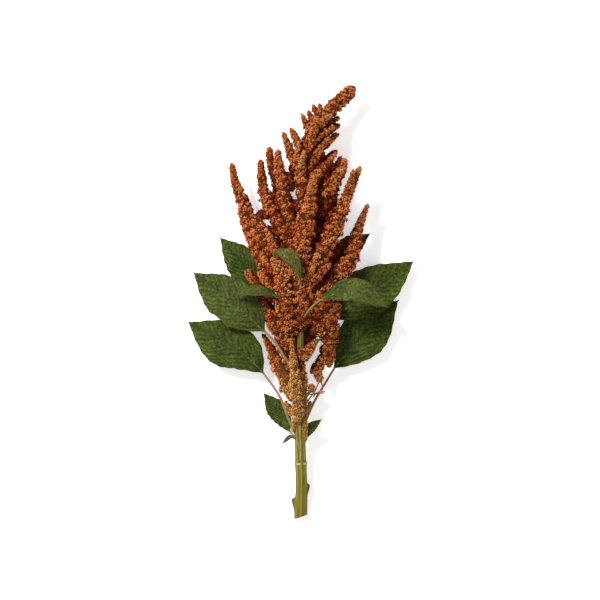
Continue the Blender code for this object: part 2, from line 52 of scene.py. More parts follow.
# Stem: centre line from the cut end up into the head, with the diameter there
STEM_ROUTE = [(0.2, -224, 4.4), (0.3, -204, 7.6), (0.9, -184, 11.4), (-0.2, -150, 17.6),
              (-0.6, -120, 23.0), (-0.4, -60, 33.0), (0.4, 0, 41.0), (0.8, 14, 42.5)]
STEM_DIAMETERS = [(0.0, 13.4), (0.1, 13.2), (0.13, 11.8), (0.26, 11.2), (0.5, 10.2), (0.6, 9.4),
                  (0.86, 7.2), (1.0, 4.6)]

# Core of the head, from its top down, with its diameter at each share of the length
CORE_ROUTE = [(11.4, 168, 37), (8.4, 136, 41), (6.4, 106, 44), (2.4, 71, 46),
              (0.8, 30, 45), (0.5, -2, 41), (0.4, -32, 38)]
CORE_DIAMETERS = [(0.0, 8), (0.34, 12), (0.51, 20), (0.72, 33), (0.88, 30), (1.0, 17)]

# Spikes of the head in groups: full width, the route from tip to root, and the width of the tip.
# The second left and right groups fill hollows between the others.
Spike = namedtuple("Spike", "width route tip", defaults=[4.6])
SPIKES = [
    ("terminal", [
        (17.5, [(54.8, 215.2, 28), (42.4, 203.2, 30), (29.8, 191.2, 33), (14, 172, 36),
                (3, 145, 40)], 15),
    ]),
    ("crest", [
        (8, [(18.2, 198.4, 35), (21.4, 190.7, 34), (27, 184, 33)]),
        (9, [(11.8, 197.6, 29), (16.4, 188.1, 31), (23, 180, 33)]),
        (9.5, [(6.8, 191.4, 32), (12.4, 180.5, 34), (16, 172, 36)]),
        (9, [(0.1, 188.5, 38), (5.9, 176.7, 38), (10, 162, 38)]),
        (11.5, [(-10.6, 173.8, 43), (-6.2, 165.8, 43), (-1.5, 156, 43), (5, 143, 42)], 5.5),
        (13.5, [(-18, 169.6, 38), (-13.6, 158.8, 39), (-7.2, 143, 41), (5, 118, 43)], 5.5),
    ]),
    ("left", [
        (13, [(-31, 155.2, 25), (-30.4, 142.3, 26), (-24, 120, 30), (-6, 82, 40)], 8),
        (18, [(-22.8, 152.3, 44), (-22, 139, 45), (-18, 116.7, 44), (-14, 92, 41), (1, 54, 42)], 7),
        (16.5, [(-39.6, 142.4, 34), (-39.6, 129, 35), (-35.4, 103.9, 38), (-25.4, 84.8, 41),
                (-4, 44, 45)], 7),
        (21, [(-69, 138.9, 30), (-65.4, 119.8, 31), (-56.8, 97.5, 34), (-48, 76, 37),
              (-4, 14, 44)], 6.5),
        (20, [(-58.4, 86, 27), (-50.8, 71.5, 30), (-37.5, 44, 35), (-4, -6, 41)], 14),
        (13, [(-44.4, 88.5, 35), (-40.4, 78, 37), (-27, 58, 41), (-4, 26, 44)], 7),
    ]),
    ("front", [
        (20, [(12.7, 129.4, 63), (12.6, 119.8, 62), (9.2, 94.3, 60), (4.1, 68.8, 56),
              (0.4, 30, 50)], 6),
        (16, [(4.4, 150.8, 52), (1.4, 139, 52), (0.4, 122, 47), (3.4, 98, 41), (5, 72, 41)], 5),
        (12, [(-35.4, 73.6, 54), (-31, 64.7, 55), (-24, 49, 55), (-5, 22, 50)]),
        (24, [(-29.7, 43.4, 56), (-24.6, 36.7, 56), (-16, 16, 53), (-12.8, -15.1, 42),
              (-11, -38, 35)], 6),
    ]),
    ("crown", [
        (10.5, [(29.6, 164.5, 46), (24, 157.5, 46), (18, 149.3, 45), (6, 128, 43)]),
        (10, [(39.2, 167.2, 31), (33, 164.6, 32), (14, 146, 39)], 6),
        (9, [(34.9, 174.7, 40), (25, 169, 40), (10, 156, 39)]),
        (11, [(40.2, 177.2, 25), (31, 172.4, 29), (12, 158, 37)], 6),
        (10.5, [(39.6, 184.6, 28), (30, 179.5, 30), (13, 167, 36)], 6),
        (10, [(32, 186.9, 42), (24.4, 181.8, 42), (14, 171, 42), (7, 148, 41)]),
        (8, [(18.6, 183, 45), (14.1, 176.7, 44), (10, 166, 40)]),
        (11, [(-1.2, 160.7, 48), (-2.4, 151.1, 48), (-2, 136, 47), (5, 114, 44)]),
        (12, [(23, 153, 34), (18, 145, 35), (8, 130, 38)], 9),
        (10.5, [(26.6, 163, 33), (20, 156, 35), (8, 142, 38)], 8),
    ]),
    ("right", [
        (12, [(37.4, 151, 29), (31, 146.4, 31), (10, 124, 39)], 5.5),
        (13, [(41, 145.6, 33), (37.6, 138, 34), (31, 126, 36), (8, 98, 42)], 6),
        (14, [(36, 148.5, 43), (28.9, 140.3, 43), (20, 130, 44), (6, 104, 44)]),
        (19, [(44.6, 143.2, 50), (41.8, 132, 52), (31.5, 115.4, 51), (25, 101, 42), (14, 80, 32)], 6),
        (20, [(59.9, 135.4, 46), (55.4, 125, 47), (45.8, 103.9, 50), (38.9, 84.8, 52), (25.5, 56, 52),
              (0, 12, 46)], 6),
        (10, [(52.5, 132, 55), (50, 119, 54), (44, 98, 52)]),
        (20, [(67.8, 97.6, 34), (61.8, 83.5, 35), (54, 62, 37), (45.5, 36, 39), (2, -10, 42)], 5),
        (13, [(30.9, 37.3, 60), (21.3, 30.3, 58), (3, 14, 50)]),
        (10, [(14.9, 36.7, 62), (10, 28, 59), (2, 14, 52)]),
        (17, [(42, 60, 32), (32, 42, 32), (6, 2, 36)], 9),
    ]),
    ("left", [
        (12, [(-13.4, 130, 37), (-11.4, 120, 39), (-7.6, 109, 41)], 9),
        (12.5, [(-44, 89, 31), (-37, 87.4, 33), (-27, 86, 36)], 10),
        (10, [(-27, 113, 34), (-23.5, 100, 36), (-16, 82, 40)]),
        (13, [(-38, 68.6, 30), (-31, 69.6, 32), (-18, 68, 36)], 11),
        (13, [(-13, 97.6, 38), (-6, 95.8, 38), (0, 87, 42)], 11),
        (9, [(-26, 62, 34), (-21, 58, 36), (-12, 50, 38)], 8),
    ]),
    ("right", [
        (14, [(27, 133, 33), (21.5, 114, 33), (17, 95, 33), (14, 74, 34), (8, 56, 38)]),
        (9, [(36, 105, 39), (33, 94, 40), (24, 74, 41)]),
        (11, [(33.2, 139, 36), (28.6, 131, 38), (16, 112, 40)], 8),
    ]),
    ("side", [
        (14, [(-55, 32, 37), (-47, 22, 37), (-26, 4, 38), (-6, -16, 40)], 9),
        (13, [(-42.4, 30.3, 49), (-35, 22, 49), (-22, 6, 46), (-4, -12, 42)], 8),
        (11, [(-39.9, 50.7, 48), (-34, 41, 48), (-16, 16, 47)]),
        (22, [(39, -1, 36), (27.6, -18, 37), (9, -34, 36)], 9),
        (13, [(37, 8, 33), (29, -4, 34), (12, -20, 36)], 9),
        (20, [(28, 20, 46), (18, -4, 40), (9, -26, 34)], 9),
    ]),
    ("low", [
        (14, [(-9.4, -40.5, 47), (-7.6, -53.3, 47), (-5, -82, 42), (-3, -104.2, 35),
              (-1.4, -122, 28)], 4.6),
        (17, [(-38.5, -32, 21), (-29.8, -47, 20), (-24.6, -58, 20), (-19.6, -69, 21), (-12.4, -82, 24),
              (-7, -101, 26)], 4.6),
        (19, [(20.6, -81.8, 26), (16.8, -69, 28), (24.5, -54, 31), (29, -36, 33), (26, -14, 37),
              (10, 18, 42)], 8),
        (13, [(17, -37, 41), (9.6, -47, 42), (-1, -60, 43)], 5),
        (9.5, [(12.4, -82, 31), (10.4, -87, 31.5), (8, -92.4, 32)], 8),
        (7, [(-8.2, -131, 24), (-6.4, -124, 26), (-2, -106, 32)]),
        (21, [(-43.4, 9, 27), (-27, -17, 32), (-16, -34, 32), (-4, -48, 36)], 13),
        (14.5, [(28.6, -66.8, 28), (28.4, -55, 30), (28, -34, 33)], 10),
        (13, [(-0.6, -46, 40), (0.2, -64, 36), (1.6, -84, 32), (1.4, -100, 28.5), (0, -121, 24.5)], 8),
        (7.5, [(5.4, -140, 22), (4.6, -128, 25), (2, -106, 32)]),
        (12, [(-23, -38.5, 26), (-16.6, -52, 25), (-8, -70, 29)], 9),
        (16, [(17, -21, 26), (8, -30, 27), (4, -46, 29)], 9),
        (7.5, [(-34, -55.6, 21), (-28, -57, 21.5), (-18, -60, 23)], 5),
        (8.5, [(-30.4, -67.6, 21), (-25, -68.4, 22), (-16, -72, 24)], 6.5),
        (10, [(10.2, -73, 27), (15, -66, 28), (22, -55, 30)], 8),
        (8, [(-15.6, -99.5, 23), (-12, -106, 24), (-6, -116, 25)], 7),
        (7.5, [(-20.6, -92, 22), (-18, -86, 23), (-12, -78, 25)], 6),
        (6.5, [(11, -100, 26), (8, -105, 26), (3, -114, 25)], 5),
        (12, [(-11.4, -36, 29), (-8.4, -50, 28), (-6, -66, 28)], 9),
    ]),
    ("rest", [
        (16, [(-31, 112, 5), (-27, 96, 3.4), (-20, 74, 9.5), (-4, 42, 36)]),
        (16, [(34, 110, 5), (30, 94, 3.4), (23, 72, 9.5), (6, 40, 36)]),
    ]),
]
FULL_WIDTH_AT = 0.5

# Spikes of the hidden back, set round the core by the golden angle
BACK_COUNT = 13
BACK_ROOTS_Y = (-30.0, 140.0)
BACK_SPREAD = math.radians(62.0)
BACK_LENGTHS = [(0.0, 62.0), (1.0, 30.0)]
BACK_WIDTHS = [(0.0, 16.0), (1.0, 8.5)]
BACK_RISE = math.radians(56.0)
BACK_BULGE = 0.16
BACK_FLOOR = 2.0

# Leaves: width, roll and fold in degrees, height of the ripples, a blade from base to tip, its
# stalk on to the root, how pale the blade is, how red the stalk is, how each half of the blade
# departs from the even outline along its length, right and left, and how tan the blade is
EVEN = [(0, 1), (1, 1)]
RED = 1
Leaf = namedtuple("Leaf", "width roll fold wave blade stalk pale blush right left tan",
                  defaults=[0.1, 0.2, EVEN, EVEN, 0])
LEAVES = {
    "leaf_left_1": Leaf(
        34, 0, 8, 1.2, [(-34, 10, 17), (-56, 36, 16), (-81, 64.4, 9)], [(-18, -8, 22), (-2, -24, 33)],
        left=[(0, 1), (0.4, 1.06), (0.6, 1), (0.85, 1.05), (1, 1.2)]),
    "leaf_left_2": Leaf(
        47, -6, 7, 1.4, [(-35.6, -30.7, 33), (-67, -2, 31), (-107.8, 29.2, 15)],
        [(-25.6, -41, 33.5), (-15.4, -56.5, 33), (-3, -75, 30.6)], pale=0.35, blush=0.3,
        right=[(0, 1.35), (0.1, 1.25), (0.25, 1.04), (0.4, 1), (1, 1)],
        left=[(0, 1), (0.37, 1), (0.44, 0.87), (0.52, 0.93), (0.6, 1.02), (0.8, 1.12), (1, 1.3)]),
    "leaf_left_3": Leaf(
        47, -6, 7, 1.4, [(-37, -72, 21), (-58.5, -51.6, 21), (-88, -35, 17), (-113.4, -20.4, 8)],
        [(-21.6, -94.4, 22), (-12.2, -117.5, 21.5), (-3, -136, 20)], pale=0.15, blush=0.75,
        right=[(0, 1.3), (0.15, 1.14), (0.3, 1.03), (0.5, 1), (1, 1)],
        left=[(0, 1), (0.14, 0.88), (0.22, 0.93), (0.3, 0.89), (0.42, 0.99), (0.6, 1.08), (0.8, 1.16),
              (1, 1.3)]),
    "leaf_left_4": Leaf(
        17, 50, 10, 0.5, [(-21.9, 4.3, 56), (-45, 10, 53), (-68, 6.4, 43)],
        [(-16, 3, 54), (-6, -2, 48)], pale=0.3, tan=0.2),
    "leaf_right_1": Leaf(
        23, 0, 8, 1, [(28, 38, 25), (50, 55, 23), (69.8, 68, 16)], [(16, 26, 30), (4, 10, 38)]),
    "leaf_right_2": Leaf(
        47, 0, 7, 1.4, [(30, -18, 24), (70, 10, 21), (113.4, 39.8, 11)],
        [(18, -32, 21), (7, -44, 23), (1, -52, 31)], pale=0.15,
        right=[(0, 1), (0.6, 1), (0.8, 1.08), (0.92, 1.3), (1, 1.7)],
        left=[(0, 1), (0.3, 1.12), (0.42, 1.13), (0.55, 1.02), (0.85, 1), (0.93, 1.3), (1, 1.7)]),
    "leaf_right_3": Leaf(
        28, -30, 14, 0.8, [(20.1, 3.3, 66), (54, 10, 66), (88.6, -6.3, 52)],
        [(12, -4.7, 62), (5.4, -13, 54), (1.6, -21, 40)], pale=0.75),
    "leaf_right_4": Leaf(
        48, 4, 7, 1.4, [(33.2, -67.4, 16), (67.8, -28.2, 14), (98.6, 1.4, 8)],
        [(25.4, -81, 17), (14.6, -99, 20), (6.6, -116, 20.5), (0, -134, 20)], pale=0.05, blush=0.9,
        right=[(0, 1), (0.2, 0.94), (0.35, 0.96), (0.5, 1.03), (0.8, 1.06), (1, 1.1)]),
    "leaf_front": Leaf(
        27, -34, -24, 0.5,
        [(-0.6, 20.3, 67), (-4, 28.4, 71), (-12, 38.2, 74), (-20.5, 45.5, 73), (-28.6, 46.8, 68)],
        [(-0.4, 16, 59), (0, 10, 48)], pale=0.2,
        right=[(0, 0.6), (0.25, 0.64), (0.45, 0.86), (0.65, 1.14), (0.85, 1.1), (1, 1)],
        left=[(0, 0.1), (0.3, 0.15), (0.6, 0.35), (1, 0.35)], tan=0.7),
    "bract_left": Leaf(
        20, 0, 8, 0.8, [(-10.4, -131, 17.4), (-21, -114, 15), (-37, -92, 11)],
        [(-7, -134.5, 18.4), (-2, -138, 19.4)], blush=0.9,
        right=[(0, 1), (0.5, 1.1), (0.8, 1.2), (1, 1.3)],
        left=[(0, 0.9), (0.3, 0.86), (0.5, 0.95), (0.7, 1.1), (1, 1.2)]),
    "bract_right": Leaf(
        9.5, 0, 8, 0.3, [(5.6, -137.6, 20.6), (10.4, -128.4, 23), (21.2, -118, 24)],
        [(4, -142, 20), (1, -145, 19)], blush=0.7, right=[(0, 0.8), (1, 0.8)],
        left=[(0, 1.3), (1, 1.3)]),
    "bract_low": Leaf(
        4.6, 20, 10, 0.2, [(-4.4, -138.4, 22), (-10.4, -136, 21), (-19, -143.4, 15)],
        [(-2, -143, 24), (0.4, -152, 22)], blush=0.1, tan=0.8),
}

# Small leaves at the feet of two low spikes; a fully red one looks like a stalk
HEAD_BRACTS = {
    "twig_bract": Leaf(
        3.6, 0, 6, 0.1, [(16.6, -92, 24), (20.5, -91, 25), (25, -90.6, 24.6)],
        [(14, -94, 24), (12, -97, 23)], blush=1, tan=1),
    "spike_bract": Leaf(
        3.8, 10, 8, 0.1, [(9, -44, 42.4), (15, -40.4, 44), (21.6, -36.6, 43)],
        [(6, -47, 40), (3, -50, 37)], pale=0.6, blush=0.3, tan=0.7),
}

# Thin red twigs between the low spikes, the right leaf stalk and the stem: width, then places
TWIGS = {
    "twig_1": (1.6, [(19, -78, 26), (17, -84, 26), (13.6, -91, 27), (8.4, -98, 28), (3, -106, 28)]),
    "twig_2": (1.5, [(10.4, -88, 30), (7.6, -94, 30), (4, -98, 29)]),
    "twig_3": (1.4, [(22, -89.6, 22), (16, -92, 25), (10, -93, 28), (4, -91, 30)]),
    "twig_4": (1.3, [(18.6, -76, 25), (21.6, -84, 21), (22.6, -88, 19)]),
}


# Curves and profiles

class Route:
    """A smooth curve through a few points, read at shares of its length."""

    steps = 16
    reach = 0.02

    def __init__(self, points):
        knots = np.array(points, dtype=float)
        knots = np.vstack([2 * knots[0] - knots[1], knots, 2 * knots[-1] - knots[-2]])
        u = (np.arange(self.steps) / self.steps)[:, None]
        runs = [self.between(*four, u) for four in zip(knots, knots[1:], knots[2:], knots[3:])]
        self.points = np.vstack([*runs, knots[-2]])
        travelled = np.cumsum(np.linalg.norm(np.diff(self.points, axis=0), axis=1))
        self.length = float(travelled[-1])
        self.shares = np.append(0.0, travelled) / self.length

    @staticmethod
    def between(a, b, c, d, u):
        """Points on the Catmull-Rom curve from b to c."""
        return 0.5 * (2 * b + (c - a) * u + (2 * a - 5 * b + 4 * c - d) * u**2
                      + (3 * b - a - 3 * c + d) * u**3)

    def at(self, shares):
        return np.stack([np.interp(shares, self.shares, values) for values in self.points.T], -1)

    def direction(self, shares):
        ahead = self.at(np.minimum(shares + self.reach, 1.0))
        behind = self.at(np.maximum(shares - self.reach, 0.0))
        return unit(ahead - behind)


def unit(vectors):
    return vectors / np.maximum(np.linalg.norm(vectors, axis=-1, keepdims=True), 1e-9)


def across_route(forward):
    """Two directions square to a route: to its side, and over its top."""
    side = unit(np.cross(UP, forward))
    return side, np.cross(forward, side)


def fan(angles, first, second):
    """Directions turned by angles from the first of two square directions towards the second."""
    return np.cos(angles)[..., None] * first + np.sin(angles)[..., None] * second


def ring_angles(sides):
    return np.arange(sides) * FULL_TURN / sides


def read_profile(profile, shares):
    """The values at shares of the length, between the listed pairs."""
    return np.interp(shares, *zip(*profile))


def smooth_step(low, high, values):
    share = np.clip((values - low) / (high - low), 0.0, 1.0)
    return share * share * (3 - 2 * share)


def hill(values, centre, reach):
    """A smooth hill, 1 at its centre and nearly 0 at twice its reach."""
    return np.exp(-((values - centre) / reach)**2)


# Objects and meshes

def new_object(name, data):
    item = bpy.data.objects.new(name, data)
    bpy.context.scene.collection.objects.link(item)
    return item


def new_piece(name, points, faces, material, node=None, attributes=None, uv=None):
    """A mesh object from points in millimetres and their faces, riding on the plant."""
    mesh = bpy.data.meshes.new(name)
    mesh.from_pydata((points * MM).tolist(), [], faces.tolist())
    for key, values in (attributes or {}).items():
        layer = mesh.attributes.new(key, "FLOAT", "POINT")
        layer.data.foreach_set("value", np.asarray(values, dtype=np.float32).ravel())
    if uv is not None:
        layer = mesh.uv_layers.new(name="OFBake")
        layer.uv.foreach_set("vector", uv.astype(np.float32).ravel())
    mesh.shade_smooth()
    mesh.materials.append(material)
    piece = new_object(name, mesh)
    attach(piece, "root")
    if node:
        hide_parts(node)


def tube_faces(rows, sides):
    """Quads of an open tube whose points lie row by row."""
    row, side = np.meshgrid(np.arange(rows - 1) * sides, np.arange(sides), indexing="ij")
    after = (side + 1) % sides
    corners = [row + side, row + after, row + sides + after, row + sides + side]
    return np.stack(corners, -1).reshape(-1, 4)


def tube_points(route, shares, radii, angles, wobble=1.0):
    """Rings round a route, in rows, with the first direction to the side and then over the top."""
    side, over = across_route(route.direction(shares))
    around = fan(angles, side[:, None], over[:, None])
    reach = np.broadcast_to(radii[:, None] * wobble, around.shape[:2])
    return route.at(shares)[:, None] + reach[..., None] * around


# Node materials

class Shader:
    """A material whose nodes are added one by one, with values or links for inputs."""

    def __init__(self, name, roughness, specular):
        self.material = bpy.data.materials.new(name)
        self.material.use_nodes = True
        self.tree = self.material.node_tree
        self.surface = self.tree.nodes["Principled BSDF"]
        self.surface.inputs["Roughness"].default_value = roughness
        self.surface.inputs["Specular IOR Level"].default_value = specular

    def add(self, kind, output=0, settings=None, **inputs):
        """A new node's output; an input goes by its name, or by n and its number."""
        node = self.tree.nodes.new("ShaderNode" + kind)
        for key, value in (settings or {}).items():
            setattr(node, key, value)
        for key, value in inputs.items():
            self.feed(node.inputs[int(key[1:]) if key[1:].isdigit() else key], value)
        return node.outputs[output]

    def feed(self, socket, value):
        if isinstance(value, bpy.types.NodeSocket):
            self.tree.links.new(value, socket)
        else:
            socket.default_value = (*value, 1.0) if socket.type == "RGBA" else value

    def ramp(self, factor, stops):
        """A colour for each number, between stops of a place and a colour."""
        node = self.tree.nodes.new("ShaderNodeValToRGB")
        points = node.color_ramp.elements
        while len(points) < len(stops):
            points.new(1.0)
        for point, (place, colour) in zip(points, stops):
            point.position = place
            point.color = (*colour, 1.0)
        self.feed(node.inputs[0], factor)
        return node.outputs[0]

    def grained(self, grain, dark, light, low=0.3):
        """From dark to light as the grain rises about its middle."""
        return self.ramp(grain, [(low, dark), (1 - low, light)])

    def mix(self, factor, first, second, blend="MIX"):
        settings = {"data_type": "RGBA", "blend_type": blend}
        return self.add("Mix", 2, settings, n0=factor, n6=first, n7=second)

    def tinted(self, colour, tints):
        """A colour mixed with one tint after another, each by a share of a named attribute."""
        for key, share, tint in tints:
            colour = self.mix(self.times(self.attribute(key), share), colour, tint)
        return colour

    def scaled(self, colour, factor):
        return self.add("VectorMath", 0, {"operation": "SCALE"}, n0=colour, Scale=factor)

    def maths(self, operation, first, second=0.0):
        return self.add("Math", 0, {"operation": operation}, n0=first, n1=second)

    def times(self, first, second):
        return self.maths("MULTIPLY", first, second)

    def plus(self, first, second):
        return self.maths("ADD", first, second)

    def mapped(self, value, low, high, first=0.0, last=1.0):
        """A value between low and high, as a number between first and last."""
        return self.add("MapRange", 0, Value=value, n1=low, n2=high, n3=first, n4=last)

    def attribute(self, name):
        return self.add("Attribute", 2, {"attribute_name": name})

    def noise(self, scale, detail=3.0, stretch=(1.0, 1.0, 1.0)):
        """Cloudy noise in the object's own space, with lumps about a metre over the scale."""
        place = self.add("TexCoord", 3)
        spread = self.add("Mapping", 0, Vector=place, Scale=stretch)
        return self.add("TexNoise", 0, Vector=spread, Scale=scale, Detail=detail)

    def bump(self, height, strength, distance):
        bump = self.add("Bump", 0, Height=height, Strength=strength, Distance=distance * MM)
        self.feed(self.surface.inputs["Normal"], bump)

    def colour(self, value):
        self.feed(self.surface.inputs["Base Color"], value)


FLORET_HUES = [
    (0.00, (0.50, 0.255, 0.050)),
    (0.22, (0.61, 0.225, 0.045)),
    (0.45, (0.70, 0.185, 0.034)),
    (0.65, (0.62, 0.128, 0.024)),
    (0.85, (0.46, 0.064, 0.019)),
    (1.00, (0.32, 0.032, 0.014)),
]
# Colour along a floret, reached less far as its light falls: near black at the base as painted shade,
# pale cream at the tip as a painted highlight
FLORET_SHADES = [
    (0.00, (0.045, 0.009, 0.003)),
    (0.28, (0.25, 0.075, 0.025)),
    (0.55, (0.70, 0.58, 0.50)),
    (0.78, (1.04, 1.28, 1.9)),
    (1.00, (1.20, 2.3, 6.0)),
]
SHADE_CELLS = 61.0
SHADE_CHANCE = (0.56, 1.44)
PALEST = (0.95, 0.95, 0.95)


def floret_material():
    """Rust florets: across the map the hue of each floret, up the map from its base to its tip, less far
    where shaded; dark bases and pale tips are painted shade and highlight.
    """
    shader = Shader("seed_rust_florets", 0.75, 0.03)
    place = shader.add("UVMap", 0, {"uv_map": "OFBake"})
    across, up = shader.add("SeparateXYZ", 0, Vector=place).node.outputs[:2]
    hue = shader.ramp(across, FLORET_HUES)
    shade = shader.ramp(up, FLORET_SHADES)
    cell = shader.maths("FLOOR", shader.times(across, SHADE_CELLS))
    luck = shader.add("TexWhiteNoise", 0, {"noise_dimensions": "1D"}, W=cell)
    light = shader.mapped(luck, 0.0, 1.0, *SHADE_CHANCE)
    lit = shader.scaled(shader.mix(1.0, hue, shade, "MULTIPLY"), light)
    shader.colour(shader.add("VectorMath", 0, {"operation": "MINIMUM"}, n0=lit, n1=PALEST))
    return shader.material


def core_material():
    """Stalks between the florets, tan low on the plant; elsewhere near black, painted shade in the gaps
    between florets.
    """
    shader = Shader("seed_rust_core", 0.9, 0.05)
    grain = shader.noise(900.0)
    tan = shader.grained(grain, (0.11, 0.052, 0.014), (0.22, 0.11, 0.030), 0.35)
    # near black: painted shade between the florets
    dark = shader.grained(grain, (0.026, 0.006, 0.002), (0.09, 0.022, 0.006), 0.35)
    shader.colour(shader.mix(shader.attribute("ripe"), tan, dark))
    shader.bump(grain, 0.6, 0.5)
    return shader.material


def leaf_material():
    """Green blades: dark sunken veins in arcs, finer ones across, brown rims, paler undersides,
    yellow-green outer parts with painted light on the lower halves, and painted shade in the crumples.
    """
    shader = Shader("leaf_green_blade", 0.6, 0.05)
    fade = shader.attribute("fade")
    tan = shader.attribute("tan")
    mottle = shader.noise(70.0, 4.0)
    grain = shader.noise(800.0)
    crumple = shader.noise(330.0, 4.0)

    phase = shader.maths("PINGPONG", shader.plus(shader.attribute("phase"), shader.noise(80.0)), 0.5)
    ridge = shader.times(shader.mapped(phase, 0.04, 0.38), fade)
    line = shader.times(shader.mapped(phase, 0.015, 0.10, 1.0, 0.0), fade)
    across = shader.plus(shader.times(shader.attribute("off"), 0.4),
                         shader.times(shader.noise(300.0, 2.0), 2.4))
    link = shader.mapped(shader.maths("PINGPONG", across, 0.5), 0.04, 0.2, 1.0, 0.0)
    patches = shader.mapped(shader.noise(90.0), 0.35, 0.62, 0.35, 1.0)
    vein = shader.maths("MAXIMUM", line, shader.times(link, shader.plus(tan, 0.3)))
    vein = shader.maths("MAXIMUM", shader.times(vein, patches), shader.attribute("middle"))
    ink = shader.mix(tan, (0.005, 0.009, 0.002), (0.20, 0.18, 0.07))

    deep = shader.grained(mottle, (0.012, 0.021, 0.002), (0.038, 0.054, 0.005))
    pale = shader.grained(mottle, (0.064, 0.078, 0.020), (0.094, 0.106, 0.028))
    green = shader.mix(shader.attribute("pale"), deep, pale)
    green = shader.mix(tan, green, (0.076, 0.056, 0.012))
    green = shader.mix(shader.times(ridge, 0.26), green, (0.070, 0.092, 0.020))
    # Yellow-green towards margins and tip, with painted light on each blade's lower half
    green = shader.tinted(green, [("outer", 0.45, (0.066, 0.100, 0.006))])
    green = shader.mix(shader.times(vein, 0.8), green, ink)
    green = shader.tinted(green, [("rib", 0.6, (0.15, 0.17, 0.05)), ("under", 0.5, (0.13, 0.16, 0.06)),
                                  ("rim", 0.6, (0.060, 0.028, 0.014))])
    speck = shader.mapped(grain, 0.32, 0.68, 0.56, 1.44)
    # Painted shade and light on the crumples, from the same noise as their bump
    painted_crumple_shade = shader.mapped(crumple, 0.34, 0.66, 0.60, 1.42)
    shader.colour(shader.scaled(green, shader.times(speck, painted_crumple_shade)))

    swell = shader.maths("SUBTRACT", shader.times(ridge, 1.1), shader.times(vein, 0.6))
    shader.bump(shader.plus(shader.plus(grain, swell), shader.times(crumple, 3.0)), 0.6, 0.35)
    return shader.material


def stalk_material():
    """Leaf stalks: tan green, turning red towards the root."""
    shader = Shader("leaf_green_stalk", 0.5, 0.2)
    streak = shader.noise(240.0)
    green = shader.grained(streak, (0.165, 0.130, 0.042), (0.24, 0.185, 0.068))
    red = shader.grained(streak, (0.27, 0.10, 0.070), (0.40, 0.18, 0.125))
    shader.colour(shader.mix(shader.attribute("blush"), green, red))
    shader.bump(streak, 0.3, 0.2)
    return shader.material


def stem_material():
    """The ribbed stem: olive furrows, pale ribs with a painted highlight along the top, streaks, painted
    shade inside the head, a node line, scars and the cut pith.
    """
    shader = Shader("stem_green_rind", 0.55, 0.15)
    streak = shader.noise(420.0, 4.0, (1.0, 0.06, 1.0))
    furrow = shader.grained(streak, (0.080, 0.057, 0.004), (0.18, 0.136, 0.018))
    rib = shader.grained(streak, (0.26, 0.210, 0.045), (0.42, 0.350, 0.110))
    rind = shader.mix(shader.attribute("rib"), furrow, rib)
    rind = shader.tinted(rind, [("foot", 0.6, (0.140, 0.110, 0.002))])
    blotch = shader.mapped(shader.noise(45.0), 0.4, 0.7, 0.0, 0.35)
    rind = shader.mix(blotch, rind, (0.16, 0.19, 0.03))
    # Painted shade inside the head, then the stem's own scars, node line and pith
    shader.colour(shader.tinted(rind, [
        ("inside", 0.62, (0.080, 0.044, 0.008)), ("scar", 1.0, (0.062, 0.036, 0.022)),
        ("node", 1.0, (0.55, 0.50, 0.27)), ("pith", 1.0, (0.42, 0.40, 0.16))]))
    shader.bump(streak, 0.35, 0.3)
    return shader.material


# Bodies: the spikes and the core

SWELL_LENGTHS = (12.0, 7.3)
SWELL_SHARES = (0.045, 0.04)
SWELL_RADII = (4.5, 8.5)
SWELL_PLACES = (0.05, 0.3)
TIP_ROUNDING = 1.2


def round_ended(radius, reach, shares, length):
    """The radius along a body, drawn in to a round end over a reach at each end."""
    ends = np.minimum(shares, 1 - shares) * length / reach
    return radius * np.sqrt(1 - (1 - np.clip(ends, 0.0, 1.0))**2)


def spike_radius(spike, shares, length):
    """Half the width along a spike; a thick one swells and narrows a little."""
    grown = np.minimum(1.0, shares / FULL_WIDTH_AT)
    radius = (spike.tip + (spike.width - spike.tip) * grown) / 2
    thick = smooth_step(*SWELL_RADII, spike.width / 2)
    for swell, every, start in zip(SWELL_SHARES, SWELL_LENGTHS, spike.route[0]):
        wave = np.sin(FULL_TURN * shares * length / every + start)
        radius = radius * (1 + swell * thick * smooth_step(*SWELL_PLACES, shares) * wave)
    return round_ended(radius, radius * TIP_ROUNDING, shares, length)


def core_radius(shares, length):
    radius = read_profile(CORE_DIAMETERS, shares) / 2
    return round_ended(radius, radius, shares, length)


def stem_radius(shares):
    return read_profile(STEM_DIAMETERS, shares) / 2


def back_spikes():
    """The hidden spikes: longer low on the head, and clear of the surface."""
    core = Route(CORE_ROUTE)
    order = np.argsort(core.points[:, 1])
    for index in range(BACK_COUNT):
        height = (index + 0.5) / BACK_COUNT
        root_y = BACK_ROOTS_Y[0] + height * (BACK_ROOTS_Y[1] - BACK_ROOTS_Y[0])
        root = core.at(np.interp(root_y, core.points[order, 1], core.shares[order]))
        turn = math.sin(index * GOLDEN_ANGLE) * BACK_SPREAD
        length = read_profile(BACK_LENGTHS, height)
        width = read_profile(BACK_WIDTHS, height)
        out = np.array([math.sin(turn), 0, -math.cos(turn)])
        tip = root + length * (out * math.cos(BACK_RISE) + np.array([0, math.sin(BACK_RISE), 0]))
        tip[2] = max(tip[2], BACK_FLOOR + width / 3)
        middle = (root + tip) / 2 + out * BACK_BULGE * length
        middle[2] = max(middle[2], BACK_FLOOR + width / 2)
        yield width, [tip, middle, root]


